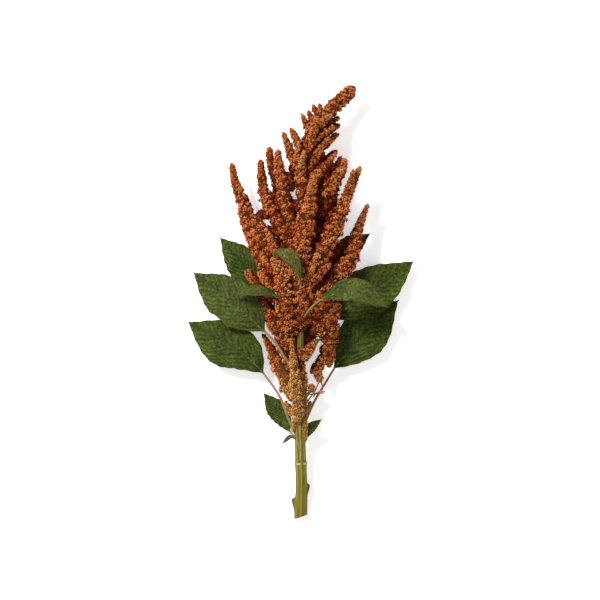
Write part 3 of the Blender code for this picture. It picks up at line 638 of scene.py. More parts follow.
class Body:
    """A spike or the core: its route, with its radius at any share of the length."""

    def __init__(self, group, route, radius_at):
        self.group = group
        self.route = Route(route)
        self.radius_at = lambda shares: radius_at(shares, self.route.length)
        samples = np.linspace(0.0, 1.0, max(6, round(self.route.length)))
        self.centres = self.route.at(samples)
        self.radii = self.radius_at(samples)

    def depth(self, places):
        """How far each place lies inside this body, where it is near enough to matter."""
        found = np.full(len(places), -1e3)
        reach = self.radii.max()
        low = self.centres.min(0) - reach
        high = self.centres.max(0) + reach
        near = np.flatnonzero(((places > low) & (places < high)).all(1))
        if len(near):
            away = np.linalg.norm(places[near][:, None] - self.centres, axis=2)
            found[near] = (self.radii - away).max(1)
        return found


def all_bodies():
    bodies = [Body("core", CORE_ROUTE, core_radius)]
    for group, rows in [*SPIKES, ("back", back_spikes())]:
        for row in rows:
            spike = Spike(*row)
            bodies.append(Body(group, spike.route, partial(spike_radius, spike)))
    return bodies


# Clusters of florets on the bodies

CLUSTER_GAP = 4.8
CLUSTER_REACH = 3.0
CLUSTER_SIZES = (0.76, 1.22)
CLUSTER_STRAY = 0.45
CLUSTER_TURN = 0.12
FULL_SIZE_RADIUS = 7.0
LEAST_SIZE = 0.68
LEAST_RADIUS = 0.6
FLORET_FULLNESS = 1.05
STEEPEST = 3.0
YOUNG_SHARE = 0.4
YOUNG_CALM = 0.6
LUMP_SIZE = 7.0
LUMP_RISE = 2.9
LUMP_RADII = (2.5, 8.0)
RISE_CHANCE = 0.6
RISE_LIMITS = (-1.7, 0.9)
LEAST_SUNK = 2.0
HIDDEN_DEPTH = 0.9
LEAST_HEIGHT = 0.4
SKY_RAYS = 16
SKY_REACH = 30.0
SKY_START = 0.5
LEAST_SKY = 0.07
SKY_RANGE = (0.28, 0.96)
AXIS_HEIGHT = 40.0
BODY_SAMPLES = 400

# Hue, from tan to dark red, and light of a cluster, then what each cause adds to the two
# Sky, lumps, behind, high, middle and upward are painted light and shade: darker and redder where
# little sky is seen, low behind and below the middle, redder on the flanks, lighter on raised
# lumps and high spikes. Ripe, young and top are the florets' own tone.
FIRST_LOOKS = (0.378, 0.435)
LOOK_CAUSES = {
    "ripe": (0.36, -0.16),
    "sky": (-0.22, 0.64),
    "upward": (-0.14, 0.0),
    "lumps": (0.0, 0.30),
    "behind": (0.12, -0.22),
    "high": (0.0, 0.07),
    "young": (-0.08, 0.15),
    "middle": (0.0, -0.20),
    "top": (-0.14, 0.08),
}

# Places along the plant, and heights over its axis, between which these causes grow
RIPE_Y = (-125.0, 25.0)
# Painted shade low behind and below the middle, painted light on high spikes
SHADED_BEHIND_Y = (-92.0, -50.0)
SHADED_BEHIND_HEIGHT = (3.0, -9.0)
LIT_HIGH_HEIGHT = (4.0, 28.0)
SHADED_MIDDLE_Y = -20.0
SHADED_MIDDLE_REACH = 20.0
TOP_Y = (165.0, 195.0)
HUE_CHANCE = 0.03
RIPE_CHANCE = 0.05
LIGHT_CHANCE = 0.05

Clusters = namedtuple("Clusters", "place normal forward size lumps young")


def cluster_size(radius):
    """Clusters and florets are smaller on thin spikes and at tips."""
    return np.clip(radius / FULL_SIZE_RADIUS, LEAST_SIZE, 1.0)


def place_clusters(body, rng):
    """Evenly spread clusters on a body's skin, in a spiral, with how near each is to the tip."""
    fine = np.linspace(0.0, 1.0, BODY_SAMPLES)
    radius = body.radius_at(fine) * FLORET_FULLNESS
    gap = CLUSTER_GAP * cluster_size(radius)
    density = (FULL_TURN * np.maximum(radius, LEAST_RADIUS) / gap**2
               * body.route.length / (len(fine) - 1))
    total = np.cumsum(density)
    count = int(total[-1])
    shares = np.interp((np.arange(count) + 0.5) * total[-1] / count, total, fine)
    shares = np.clip(shares + rng.normal(0, CLUSTER_STRAY, count) / body.route.length, 0.0, 1.0)
    angles = np.arange(count) * GOLDEN_ANGLE + rng.normal(0, CLUSTER_TURN, count)
    radii = np.interp(shares, fine, radius)
    slopes = np.interp(shares, fine, np.gradient(radius, fine * body.route.length))
    forward = -body.route.direction(shares)
    radial = fan(angles, *across_route(forward))
    normal = unit(radial + forward * np.clip(slopes, -STEEPEST, STEEPEST)[:, None])
    size = cluster_size(radii) * rng.uniform(*CLUSTER_SIZES, count)
    place = body.route.at(shares) + radial * radii[:, None]
    lumps = np.array([noise.noise(Vector(spot / LUMP_SIZE)) for spot in place])
    young = 1 - smooth_step(0.0, YOUNG_SHARE, shares)
    rise = LUMP_RISE * lumps * smooth_step(*LUMP_RADII, radii) + rng.normal(0, RISE_CHANCE, count) * size
    low, high = RISE_LIMITS
    rise = np.clip(rise * (1 - YOUNG_CALM * young), low * size, high * size)
    least = LEAST_SUNK * cluster_size(radii) + radii * (1 - 1 / FLORET_FULLNESS)
    sunk = np.maximum(CLUSTER_REACH * size - rise, least)[:, None]
    return Clusters(place - normal * sunk, normal, forward, size, lumps, young)


def shown_clusters(skin, body, others):
    """Which clusters, by their place on the skin, aren't buried in another spike or the stem."""
    shown = skin[:, 2] > LEAST_HEIGHT
    for other in others:
        if other is not body:
            shown &= other.depth(skin) < HIDDEN_DEPTH
    return shown


def sky_shares(place, normal, tree):
    """The share of open sky that each place sees past the spikes, from dark to light in the painted
    shade.
    """
    order = np.arange(SKY_RAYS) + 0.5
    first = unit(np.cross(normal, UP + 1e-3))
    second = np.cross(normal, first)
    seen = np.zeros(len(place))
    for lean, turn in zip(np.arcsin(np.sqrt(order / SKY_RAYS)), order * GOLDEN_ANGLE):
        rays = fan(lean, normal, fan(turn, first, second))
        for index, (spot, ray) in enumerate(zip(place, rays)):
            if tree.ray_cast(Vector(spot), Vector(ray), SKY_REACH)[0] is None:
                seen[index] += 1 / SKY_RAYS
    return seen


def cluster_looks(clusters, sky, rng):
    """Hue and light of clusters: tan low on the plant and at tips; painted shade where deep, low or on
    flanks, painted light on raised and high ones.
    """
    y = clusters.place[:, 1]
    height = clusters.place[:, 2] - AXIS_HEIGHT
    # Sky, lumps, behind, high, middle and upward paint light and shade; ripe, young and top are own tone
    causes = {
        "ripe": smooth_step(*RIPE_Y, y),
        "sky": sky,
        "upward": clusters.normal[:, 2],
        "lumps": clusters.lumps,
        "behind": smooth_step(*SHADED_BEHIND_HEIGHT, height) * smooth_step(*SHADED_BEHIND_Y, y),
        "high": smooth_step(*LIT_HIGH_HEIGHT, height),
        "young": clusters.young,
        "middle": hill(y, SHADED_MIDDLE_Y, SHADED_MIDDLE_REACH),
        "top": smooth_step(*TOP_Y, y),
    }
    added = sum(np.outer(LOOK_CAUSES[key], values) for key, values in causes.items())
    hue, light = np.array(FIRST_LOOKS)[:, None] + added
    hue = hue + rng.normal(0, HUE_CHANCE) + rng.normal(0, HUE_CHANCE + RIPE_CHANCE * causes["ripe"])
    return hue, light + rng.normal(0, LIGHT_CHANCE, len(light))


# Florets of each cluster

CLUSTER_FLORETS = 21
CLUSTER_SPREAD = math.radians(86.0)
FLORET_LENGTH = 2.5
FLORET_LENGTHS = (0.8, 1.2)
FLORET_WIDTH = 1.2
FLORET_WIDTHS = (0.8, 1.15)
FLORET_TILT = 0.12
FLORET_SHIFT = 0.2
FLORET_LEAN = 0.5
FLORET_STRAY = 0.3
LONG_SHARE = 0.2
LONG_LENGTH = 1.25
LONG_WIDTH = 0.7
LONG_HUE = 0.2
# A few florets lit up as painted highlights
PAINTED_HIGHLIGHT_SHARE = 0.1
PAINTED_HIGHLIGHT = 0.22
# Painted light in the middle of each cluster and painted shade towards its edge
PAINTED_MIDDLE_LIGHT = 0.08
PAINTED_EDGE_SHADE = 0.3
FLORET_HUE_CHANCE = 0.06
FLORET_LIGHT_CHANCE = 0.11
LEAST_LIGHT = 0.16
LEAF_CLEARANCE = 1.2
FLOOR_CLEARANCE = 0.05
FIRST_SEED = 100

# A floret: base, a ring of three and a tip; each place is a share of the length and the width
FLORET_FACES = np.array([(0, 2, 1), (0, 3, 2), (0, 1, 3), (1, 2, 4), (2, 3, 4), (3, 1, 4)])
FLORET_HEIGHTS = np.array([0.0, 0.45, 0.45, 0.45, 1.0])
FLORET_SHADE_HEIGHTS = np.array([0.0, 0.58, 0.58, 0.58, 1.0])
FLORET_TURNS = np.array([0, 0, 1, 2, 0]) * FULL_TURN / 3
FLORET_REACHES = np.array([0.0, 0.5, 0.5, 0.5, 0.0])
FLORET_BENDS = np.array([0.0, 0.03, 0.03, 0.03, 0.32])
FLORET_BEND_CHANCE = (0.2, 1.0)
FLORET_MAP_WIDTH = 0.012
MAP_EDGE = 0.01

Florets = namedtuple("Florets", "base direction length width polar long")


def open_clusters(clusters, rng):
    """The florets of each cluster: base, direction, size, lean from its middle, and if long."""
    place, normal, forward, size = clusters[:4]
    count = len(place)
    grid = (count, CLUSTER_FLORETS)
    first = unit(np.cross(normal, forward) + 1e-3 * UP)
    second = np.cross(normal, first)
    order = np.arange(CLUSTER_FLORETS)
    polar = np.sqrt((order + 0.3) / CLUSTER_FLORETS) * CLUSTER_SPREAD
    polar = polar + rng.normal(0, FLORET_TILT, grid)
    turn = order * GOLDEN_ANGLE + rng.uniform(0, FULL_TURN, count)[:, None]
    turn = turn + rng.normal(0, FLORET_SHIFT, grid)
    out = fan(polar, normal[:, None], fan(turn, first[:, None], second[:, None]))
    direction = unit(out + FLORET_LEAN * forward[:, None] + rng.normal(0, FLORET_STRAY, out.shape))
    base = place[:, None] + out * (CLUSTER_REACH - FLORET_LENGTH) * size[:, None, None]
    length = FLORET_LENGTH * size[:, None] * rng.uniform(*FLORET_LENGTHS, grid)
    width = FLORET_WIDTH * size[:, None] * rng.uniform(*FLORET_WIDTHS, grid)
    long = rng.random(grid) < LONG_SHARE
    length = np.where(long, length * LONG_LENGTH, length)
    width = np.where(long, width * LONG_WIDTH, width)
    return Florets(base.reshape(-1, 3), direction.reshape(-1, 3), length.ravel(), width.ravel(),
                   polar.ravel(), long.ravel())


def floret_points(florets, kept, rng):
    """Five points for each floret, its tip bent to one side."""
    base, direction, length, width = (values[kept] for values in florets[:4])
    count = len(base)
    spin = rng.uniform(0, FULL_TURN, count)
    first = unit(np.cross(direction, rng.normal(0, 1, (count, 3))))
    second = np.cross(direction, first)
    ring = fan(spin[:, None] + FLORET_TURNS, first[:, None], second[:, None])
    bend = rng.uniform(*FLORET_BEND_CHANCE, count)[:, None, None] * FLORET_BENDS[:, None] * first[:, None]
    points = (base[:, None]
              + direction[:, None] * (FLORET_HEIGHTS * length[:, None])[..., None]
              + ring * (FLORET_REACHES * width[:, None])[..., None]
              + bend * length[:, None, None])
    points[..., 2] = np.maximum(points[..., 2], FLOOR_CLEARANCE)
    return points


def floret_map(hues, lights):
    """Map places by face corner: a narrow strip at the hue, from the base up to the tip, shortened as the
    floret's light falls, which holds painted light and shade and its own tone.
    """
    across = hues[:, None] + FLORET_MAP_WIDTH * FLORET_TURNS / FULL_TURN
    up = MAP_EDGE + (1 - 2 * MAP_EDGE) * FLORET_SHADE_HEIGHTS * lights[:, None]
    at_points = np.stack([across, up], -1)
    return at_points[:, FLORET_FACES.ravel()].reshape(-1, 2)


def floret_looks(florets, hue, light, rng):
    """Hue and light of florets: painted light in the middle of a cluster and painted shade at its edge,
    painted highlights on a few, long thin florets red.
    """
    count = len(florets.base)
    off = florets.polar / CLUSTER_SPREAD
    hue = np.repeat(hue, CLUSTER_FLORETS) + LONG_HUE * florets.long
    hue = hue + rng.normal(0, FLORET_HUE_CHANCE, count)
    # painted dome shading: lighter in the middle of the cluster, darker at its edge
    light = np.repeat(light, CLUSTER_FLORETS) + PAINTED_MIDDLE_LIGHT - PAINTED_EDGE_SHADE * off**2
    light = light + rng.normal(0, FLORET_LIGHT_CHANCE, count)
    # a few florets get a painted highlight
    light = light + PAINTED_HIGHLIGHT * (rng.random(count) < PAINTED_HIGHLIGHT_SHARE)
    return np.clip(hue, 0.0, 1.0 - FLORET_MAP_WIDTH), np.clip(light, LEAST_LIGHT, 1.0)


def clear_of_leaves(florets, leaf_tree):
    """Which florets keep off the blades."""
    middle = florets.base + florets.direction * (florets.length / 2)[:, None]
    return np.array([leaf_tree.find(spot)[2] > LEAF_CLEARANCE for spot in middle])


def grow_florets(body, others, leaf_tree, core_tree, rng):
    """Points and map places of the florets on a body, where they show."""
    clusters = place_clusters(body, rng)
    skin = clusters.place + clusters.normal * (CLUSTER_REACH * clusters.size)[:, None]
    shown = shown_clusters(skin, body, others)
    sky = np.zeros(len(skin))
    start = skin + SKY_START * clusters.normal
    sky[shown] = sky_shares(start[shown], clusters.normal[shown], core_tree)
    shown = sky > LEAST_SKY
    clusters = Clusters(*(values[shown] for values in clusters))
    florets = open_clusters(clusters, rng)
    looks = cluster_looks(clusters, smooth_step(*SKY_RANGE, sky[shown]), rng)
    hues, lights = floret_looks(florets, *looks, rng)
    kept = clear_of_leaves(florets, leaf_tree)
    return floret_points(florets, kept, rng), floret_map(hues[kept], lights[kept])


FLORET_GROUPS = ["terminal", "crest", "crown", "left", "front", "right", "side", "low", "rest", "back",
                 "core"]


def build_florets(bodies, leaf_tree, core_tree, material):
    """One piece of florets for each group of spikes."""
    others = [*bodies, Body("stem", STEM_ROUTE, lambda shares, _: stem_radius(shares))]
    for seed, group in enumerate(FLORET_GROUPS, FIRST_SEED):
        rng = np.random.default_rng(seed)
        grown = [grow_florets(body, others, leaf_tree, core_tree, rng)
                 for body in bodies if body.group == group]
        points, maps = (np.vstack(values) for values in zip(*grown))
        faces = FLORET_FACES + len(FLORET_HEIGHTS) * np.arange(len(points))[:, None, None]
        new_piece(f"florets_{group}", points.reshape(-1, 3), faces.reshape(-1, 3), material,
                  "seed_head", uv=maps)


# Rods inside the spikes

CORE_SUNK = 2.1
CORE_LEAST = 0.4
CORE_ROUGHNESS = 0.12
CORE_SIDES = 12
CORE_ROW_GAP = 3.0
CORE_SEED = 7
CORE_RIPE_Y = (-115.0, -45.0)


def core_shapes(bodies):
    """Rods inside the spikes, which the florets stand on: points and faces of all of them."""
    points, faces = [], []
    start = 0
    rng = np.random.default_rng(CORE_SEED)
    for body in bodies:
        rows = max(8, round(body.route.length / CORE_ROW_GAP))
        shares = (1 - np.cos(np.linspace(0, math.pi, rows))) / 2
        radii = body.radius_at(shares)
        radii = np.maximum(radii - CORE_SUNK * cluster_size(radii), CORE_LEAST * radii)
        radii[[0, -1]] = 0.0
        rough = 1 + rng.uniform(-CORE_ROUGHNESS, CORE_ROUGHNESS, (rows, CORE_SIDES))
        rings = tube_points(body.route, shares, radii, ring_angles(CORE_SIDES), rough)
        rings[..., 2] = np.maximum(rings[..., 2], FLOOR_CLEARANCE)
        points.append(rings.reshape(-1, 3))
        faces.append(tube_faces(rows, CORE_SIDES) + start)
        start += rows * CORE_SIDES
    return np.vstack(points), np.vstack(faces)


# Leaves

BLADE_END_WIDTH = 0.7
BLADE_WAVES = 3.5
BLADE_WAVE_SHIFT = 0.2
BLADE_BASE_POWER = 1.15
BLADE_TIP_POWER = 1.35
BLADE_THICKNESS = 0.5
BLADE_CELL = 1.2
VEIN_PAIRS = 10
VEIN_SLANT = 1.25
VEIN_ARCH = 0.018
VEIN_STRAY = 0.16
PILLOW_HEIGHT = 0.25
FULL_RELIEF_WIDTH = 30.0
RIB_WIDTH = 0.7
RIB_DEPTH = 0.25
RIM_WIDTH = 0.5
MIDDLE_WIDTH = 0.45
VEIN_FADE = (0.4, 3.0)
EDGE_FADE = (0.0, 1.2)
MARGIN_WAVE = 0.35
MARGIN_WAVES = 52.0
MARGIN_SHIFT = 0.3
FULL_MARGIN_WIDTH = 20.0
LEAF_SPOT_GAP = 1.6
OUTLINE_SHIFTS = (-0.03, 0.0, 0.03)
BLADE_MAP_WIDTH = 0.47


def blade_half_width(width, shares):
    """Half the width of a blade: a wedge at the base, widest near the middle, a drawn-out tip."""
    peak = BLADE_BASE_POWER / (BLADE_BASE_POWER + BLADE_TIP_POWER)
    top = peak**BLADE_BASE_POWER * (1 - peak)**BLADE_TIP_POWER
    outline = shares**BLADE_BASE_POWER * (1 - shares)**BLADE_TIP_POWER / top
    return np.maximum(width / 2 * outline, BLADE_END_WIDTH / 2)


def half_share(profile, shares):
    """How far half a blade departs from the even outline, read without kinks."""
    read = [read_profile(profile, shares + shift) for shift in OUTLINE_SHIFTS]
    return sum(read) / len(read)


def vein_phase(route, shares, half):
    """A phase that is whole on each side vein; the veins arch towards the tip."""
    off = np.abs(half)
    spacing = route.length / (VEIN_PAIRS + 1.5)
    phase = (shares * route.length - VEIN_SLANT * off - VEIN_ARCH * off**2) / spacing
    return phase + VEIN_STRAY * np.sin(0.9 * phase + 0.21 * half + route.length)


def blade_surface(leaf, shares, across):
    """Middle surface of a blade on a grid, with what its material needs to know."""
    route = Route(leaf.blade)
    roll = math.radians(leaf.roll)
    fold = math.radians(leaf.fold)
    forward = route.direction(shares)
    side, over = across_route(forward)
    left = math.cos(roll) * side + math.sin(roll) * over
    face = np.cross(forward, left)
    along = shares[:, None]
    edge = 1 - np.abs(across)
    even = blade_half_width(leaf.width, along)
    half = even * across
    half = half * np.where(across > 0, half_share(leaf.left, along), half_share(leaf.right, along))
    margin = MARGIN_WAVE * min(1.0, leaf.width / FULL_MARGIN_WIDTH) * across**3
    half = half + margin * np.sin(MARGIN_WAVES * (along + MARGIN_SHIFT * across))
    off = np.abs(half)
    phase = FULL_TURN * (BLADE_WAVES * along + BLADE_WAVE_SHIFT * across)
    ripple = leaf.wave * across**2 * np.sin(phase) * np.sin(math.pi * along)
    veins = vein_phase(route, along, half)
    fade = smooth_step(*VEIN_FADE, off) * smooth_step(*EDGE_FADE, edge * leaf.width / 2)
    rib = hill(half, 0.0, RIB_WIDTH)
    relief = PILLOW_HEIGHT * (0.5 - 0.5 * np.cos(FULL_TURN * veins)) * fade - RIB_DEPTH * rib
    rise = off * math.sin(fold) + ripple + relief * min(1.0, leaf.width / FULL_RELIEF_WIDTH)
    points = (route.at(shares)[:, None] + (half * math.cos(fold))[..., None] * left[:, None]
              + rise[..., None] * face[:, None])
    # Painted light: one half of each blade, the lower one, is tinted paler yellow-green
    painted_lit_half = smooth_step(-0.6, 0.6, -across * forward[:, :1])
    near_tip = 0.2 + 0.8 * smooth_step(0.0, 0.5, along)
    looks = {
        "phase": veins,
        "off": off,
        "fade": fade,
        "middle": (0.8 - leaf.pale) * hill(half, 0.0, MIDDLE_WIDTH) * smooth_step(0.2, 0.5, along),
        "rib": rib * (1 - smooth_step(0.03, 0.38, along)),
        "rim": hill(edge * np.maximum(even, 1), 0.0, RIM_WIDTH),
        "outer": smooth_step(0.1, 0.95, along) * smooth_step(0.1, 0.9, 1 - edge) * (0.35 + painted_lit_half),
        "pale": leaf.pale * near_tip,
        "tan": leaf.tan * near_tip,
    }
    return points, {key: np.broadcast_to(values, half.shape) for key, values in looks.items()}


def grid_normals(points):
    down = np.gradient(points, axis=0)
    right = np.gradient(points, axis=1)
    return unit(np.cross(down, right))


def grid_quads(rows, columns):
    row, column = np.meshgrid(np.arange(rows - 1) * columns, np.arange(columns - 1), indexing="ij")
    first = row + column
    return np.stack([first, first + 1, first + columns + 1, first + columns], -1).reshape(-1, 4)


def rim_quads(rows, columns):
    """Quads that join the rims of two grids of one size, the second after the first."""
    numbers = np.arange(rows * columns).reshape(rows, columns)
    ring = np.concatenate([numbers[0], numbers[1:, -1], numbers[-1, -2::-1], numbers[-2:0:-1, 0]])
    after = np.roll(ring, -1)
    return np.stack([after, ring, ring + numbers.size, after + numbers.size], -1)


def build_blade(name, leaf, material, node):
    """A closed thin blade with sunken veins, darker rims and a paler underside."""
    rows = max(18, round(Route(leaf.blade).length / BLADE_CELL))
    columns = 2 * max(4, round(leaf.width / 2 / BLADE_CELL)) + 1
    count = rows * columns
    shares = np.linspace(0.0, 1.0, rows)
    across = np.linspace(-1.0, 1.0, columns)
    middle, looks = blade_surface(leaf, shares, across)
    normal = grid_normals(middle)
    thick = normal * BLADE_THICKNESS / 2 * (1 - 0.5 * np.abs(across))[:, None]
    points = np.vstack([(middle + thick).reshape(-1, 3), (middle - thick).reshape(-1, 3)])
    quads = grid_quads(rows, columns)
    faces = np.vstack([quads, quads[:, ::-1] + count, rim_quads(rows, columns)])
    attributes = {key: np.tile(values.ravel(), 2) for key, values in looks.items()}
    sides = [1.0, 0.0] if normal[..., 2].mean() < 0 else [0.0, 1.0]
    attributes["under"] = np.repeat(sides, count)
    attributes["blush"] = np.full(2 * count, leaf.blush)
    along, over = np.meshgrid(shares, (across + 1) / 2, indexing="ij")
    upper_map = MAP_EDGE + np.stack([(1 - 2 * MAP_EDGE) * along, BLADE_MAP_WIDTH * over], -1)
    upper_map = upper_map.reshape(-1, 2)
    uv = np.vstack([upper_map, upper_map + (0.0, 0.5)])[faces.ravel()]
    new_piece(name, points, faces, material, node, attributes, uv)


STALK_WIDTHS = [(0.0, 0.5), (0.28, 1.2), (0.5, 1.9), (1.0, 3.1)]
STALK_SIDES = 10
STALK_ROW_GAP = 2.0
MIDRIB_PLACES = np.linspace(0.95, 0.04, 12)
MIDRIB_SUNK = 1.0
MIDRIB_SIDE = 0.02
FULL_STALK_BLADE = 40.0
THINNEST_STALK = 0.5


def build_tube(name, route, shares, radii, blush, material):
    """A thin stalk or twig with closed ends, and how red it is in each row."""
    radii[[0, -1]] = 0.0
    rings = tube_points(route, shares, radii, ring_angles(STALK_SIDES))
    new_piece(name, rings.reshape(-1, 3), tube_faces(len(shares), STALK_SIDES), material,
              attributes={"blush": np.repeat(blush, STALK_SIDES)})


def build_stalk(name, leaf, material):
    """The stalk, which runs on under the blade as its midrib."""
    surface, _ = blade_surface(leaf, MIDRIB_PLACES, np.array([-MIDRIB_SIDE, 0.0, MIDRIB_SIDE]))
    sunk = grid_normals(surface)[:, 1]
    sunk = sunk * np.sign(sunk[:, 2:])
    rib = surface[:, 1] - sunk * MIDRIB_SUNK * np.linspace(0.5, 1.0, len(MIDRIB_PLACES))[:, None]
    route = Route([*rib, *leaf.stalk])
    shares = np.linspace(0.0, 1.0, max(12, round(route.length / STALK_ROW_GAP)))
    scale = min(1.0, max(THINNEST_STALK, leaf.width / FULL_STALK_BLADE))
    radii = scale * read_profile(STALK_WIDTHS, shares) / 2
    reddest = smooth_step(0.45, 0.6, shares) * (1 - smooth_step(0.68, 0.86, shares))
    build_tube(name, route, shares, radii, leaf.blush * reddest, material)


def build_twig(name, width, places, material):
    """A thin red twig, a little knobbly."""
    route = Route(places)
    rows = max(8, round(route.length))
    radii = width / 2 * (1 + 0.15 * np.sin(2.1 * np.arange(rows)))
    build_tube(name, route, np.linspace(0.0, 1.0, rows), radii, np.ones(rows), material)


def build_leaves(blades, stalks):
    for name, leaf in {**LEAVES, **HEAD_BRACTS}.items():
        node = name if name in LEAVES else None
        build_blade(name + "_blade", leaf, stalks if leaf.blush == RED else blades, node)
        build_stalk(name + "_stalk", leaf, stalks)
    for name, (width, places) in TWIGS.items():
        build_twig(name, width, places, stalks)


def leaf_points():
    """A search tree of places on all blades, closer together than a floret is long."""
    spots = []
    for leaf in LEAVES.values():
        length = Route(leaf.blade).length
        shares = np.linspace(0.0, 1.0, max(6, round(length / LEAF_SPOT_GAP)))
        across = np.linspace(-1.0, 1.0, max(5, round(leaf.width / LEAF_SPOT_GAP)))
        spots.extend(blade_surface(leaf, shares, across)[0].reshape(-1, 3))
    tree = KDTree(len(spots))
    for index, spot in enumerate(spots):
        tree.insert(spot, index)
    tree.balance()
    return tree


# Stem

STEM_START = 0.02
STEM_ROWS = 180
STEM_SIDES = 48
STEM_RIBS = 8
STEM_RIB_DEPTH = 0.07
FINE_RIBS = 23
FINE_RIB_DEPTH = 0.012
CUT_END = (-5.0, -218.4)
CUT_END_SLANT = math.radians(19.0)
CUT_ROWS = 10
CUT_RINGS = (0.001, 0.45, 0.8, 0.93)
CUT_HOLLOW = 0.25
PITH_RINGS = (1.0, 1.0, 1.0, 0.2)

# Swellings at the node: place along the stem, reach, and height as a share of the radius
NODE_Y = -162.0
NODE_SWELLINGS = [(NODE_Y, 1.3, 0.09), (NODE_Y - 2.5, 4.0, 0.05)]

# The pale line round the node and the dark marks above it: place along the stem and reach
NODE_LINE = (NODE_Y - 0.2, 0.5)
NODE_MARKS = (NODE_Y + 2.4, 1.2)

# Leaf scars: angle round the stem and place along it
SCARS = [(math.pi - 0.15, -184.0), (0.1, -198.6)]
SCAR_RISE = 0.46
SCAR_SPREAD = 0.42
SCAR_BELOW = 14.0
SCAR_ABOVE = 1.8

# Where the stem turns olive towards its foot, and where it is darkened brown inside the head as painted
# shade
FOOT_Y = (-160.0, -205.0)
HEAD_SHADE_Y = (-90.0, -52.0)


def build_stem(material):
    """The ribbed stem, swollen at a node, scarred by two leaves and cut on a slant."""
    route = Route(STEM_ROUTE)
    shares = np.linspace(STEM_START, 1.0, STEM_ROWS)
    angles = ring_angles(STEM_SIDES)
    y = route.at(shares)[:, 1:2]
    rib = 0.5 + 0.5 * np.cos(STEM_RIBS * (angles - math.pi / 2))
    wobble = 1 - STEM_RIB_DEPTH * (1 - rib)**1.5 + FINE_RIB_DEPTH * np.cos(FINE_RIBS * angles + 1.0)
    for place, reach, height in NODE_SWELLINGS:
        wobble = wobble + height * hill(y, place, reach)
    marks = hill(y, *NODE_MARKS) * (0.5 + 0.5 * np.cos(6 * angles - 2.0))
    for angle, scar_y in SCARS:
        around = np.angle(np.exp(1j * (angles - angle)))
        ledge = smooth_step(-SCAR_BELOW, 0.0, y - scar_y) * (1 - smooth_step(0.0, SCAR_ABOVE, y - scar_y))
        hump = ledge * hill(around, 0.0, SCAR_SPREAD)
        wobble = wobble + SCAR_RISE * hump
        marks = np.maximum(marks, smooth_step(0.5, 0.85, hump))
    points = tube_points(route, shares, stem_radius(shares), angles, wobble)
    foot = CUT_END[1] + math.tan(CUT_END_SLANT) * (points[..., 0] - CUT_END[0])
    near = np.clip(1 - np.arange(STEM_ROWS) / CUT_ROWS, 0, 1)[:, None]
    points[..., 1] = np.maximum(points[..., 1] + near * (foot - points[0, :, 1]), foot)
    points[..., 2] = np.maximum(points[..., 2], 0.0)
    looks = {
        # Ribs pale all round, palest along the top: their own colour with a painted highlight on top
        "rib": rib**3 * (0.3 + 0.7 * np.cos((angles - math.pi / 2) / 2)**8),
        "foot": smooth_step(*FOOT_Y, y),
        # painted shade where the stem runs inside the head
        "inside": smooth_step(*HEAD_SHADE_Y, y),
        "scar": marks,
        "node": hill(y, *NODE_LINE) * (0.5 + 0.5 * np.cos(5 * angles + 0.8)),
        "pith": 0.0,
    }
    close_stem(points, looks, material)


def close_stem(points, looks, material):
    """Close both ends of the stem, the cut one in rings, with paler pith inside the rind."""
    centre = points[0].mean(0)
    cap = centre + (points[0] - centre) * np.array(CUT_RINGS)[:, None, None]
    cap[1:3, :, 1] += CUT_HOLLOW
    end = np.broadcast_to(points[-1].mean(0), (1, STEM_SIDES, 3))
    rings = np.vstack([cap, points, end])
    attributes = {}
    for key, values in looks.items():
        inner = np.array(PITH_RINGS)[:, None] * (key == "pith")
        parts = [(inner, len(CUT_RINGS)), (values, STEM_ROWS), (0.0, 1)]
        attributes[key] = np.vstack([np.broadcast_to(part, (rows, STEM_SIDES)) for part, rows in parts])
    new_piece("stem_rind", rings.reshape(-1, 3), tube_faces(len(rings), STEM_SIDES), material,
              "stem", attributes)


# Floor, light and camera

CAMERA_DISTANCE = 6.0
CAMERA_REACH = 20.0
SENSOR_WIDTH = 36.0
PHOTO_PIXELS = 600
PHOTO_CENTRE = (-0.6, 1.3)
MIDDLE_HEIGHT = 35.0
FLOOR_REACH = 4.0
FLOOR_GLOW = 0.46
SKY_STRENGTH = 0.36
WHITE = (1.0, 1.0, 1.0, 1.0)

# Round lamps aimed at the middle: place and diameter in metres, and power in watts
LAMPS = {
    "key_light": ((-1.3, 1.3, 2.2), 0.75, 112.0),
    "fill_light": ((0.4, -0.4, 3.0), 2.0, 18.0),
}


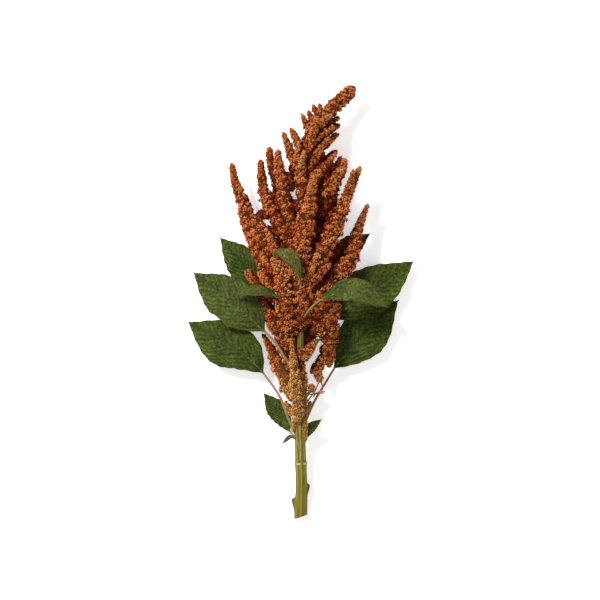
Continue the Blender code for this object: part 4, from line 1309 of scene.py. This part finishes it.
def add_camera():
    """Straight down, one millimetre to a pixel at the plant's middle height."""
    camera = bpy.data.cameras.new("camera")
    camera.sensor_width = SENSOR_WIDTH
    camera.lens = SENSOR_WIDTH * CAMERA_DISTANCE / (PHOTO_PIXELS * MM)
    camera.clip_end = CAMERA_REACH
    holder = new_object("camera", camera)
    x, y = PHOTO_CENTRE
    holder.location = (x * MM, y * MM, CAMERA_DISTANCE + MIDDLE_HEIGHT * MM)
    bpy.context.scene.camera = holder


def add_floor():
    """A pale floor that glows a little, so that it comes out nearly white."""
    shader = Shader("floor_white", 0.9, 0.1)
    shader.colour((0.93, 0.93, 0.93))
    shader.surface.inputs["Emission Color"].default_value = WHITE
    shader.surface.inputs["Emission Strength"].default_value = FLOOR_GLOW
    mesh = bpy.data.meshes.new("floor")
    corners = [(x * FLOOR_REACH, y * FLOOR_REACH, 0) for x, y in ((-1, -1), (1, -1), (1, 1), (-1, 1))]
    mesh.from_pydata(corners, [], [(0, 1, 2, 3)])
    mesh.materials.append(shader.material)
    floor = new_object("floor", mesh)


def add_lamp(name, place, size, power):
    lamp = bpy.data.lights.new(name, "AREA")
    lamp.shape = "DISK"
    lamp.size = size
    lamp.energy = power
    holder = new_object(name, lamp)
    holder.location = place
    holder.rotation_euler = Vector(place).to_track_quat("Z", "Y").to_euler()


def add_lights():
    """A large soft lamp from the upper left, a weaker one from the right, and an even sky."""
    for name, lamp in LAMPS.items():
        add_lamp(name, *lamp)
    world = bpy.data.worlds.new("studio")
    world.use_nodes = True
    sky = world.node_tree.nodes["Background"]
    sky.inputs["Color"].default_value = WHITE
    sky.inputs["Strength"].default_value = SKY_STRENGTH
    bpy.context.scene.world = world
    bpy.context.scene.view_settings.view_transform = "Standard"


def main():
    add_camera()
    add_floor()
    add_lights()
    bodies = all_bodies()
    rods, rod_faces = core_shapes(bodies)
    new_piece("seed_head_core", rods, rod_faces, core_material(), "seed_head",
              attributes={"ripe": smooth_step(*CORE_RIPE_Y, rods[:, 1])})
    core_tree = BVHTree.FromPolygons(rods.tolist(), rod_faces.tolist())
    build_florets(bodies, leaf_points(), core_tree, floret_material())
    build_leaves(leaf_material(), stalk_material())
    build_stem(stem_material())


main()
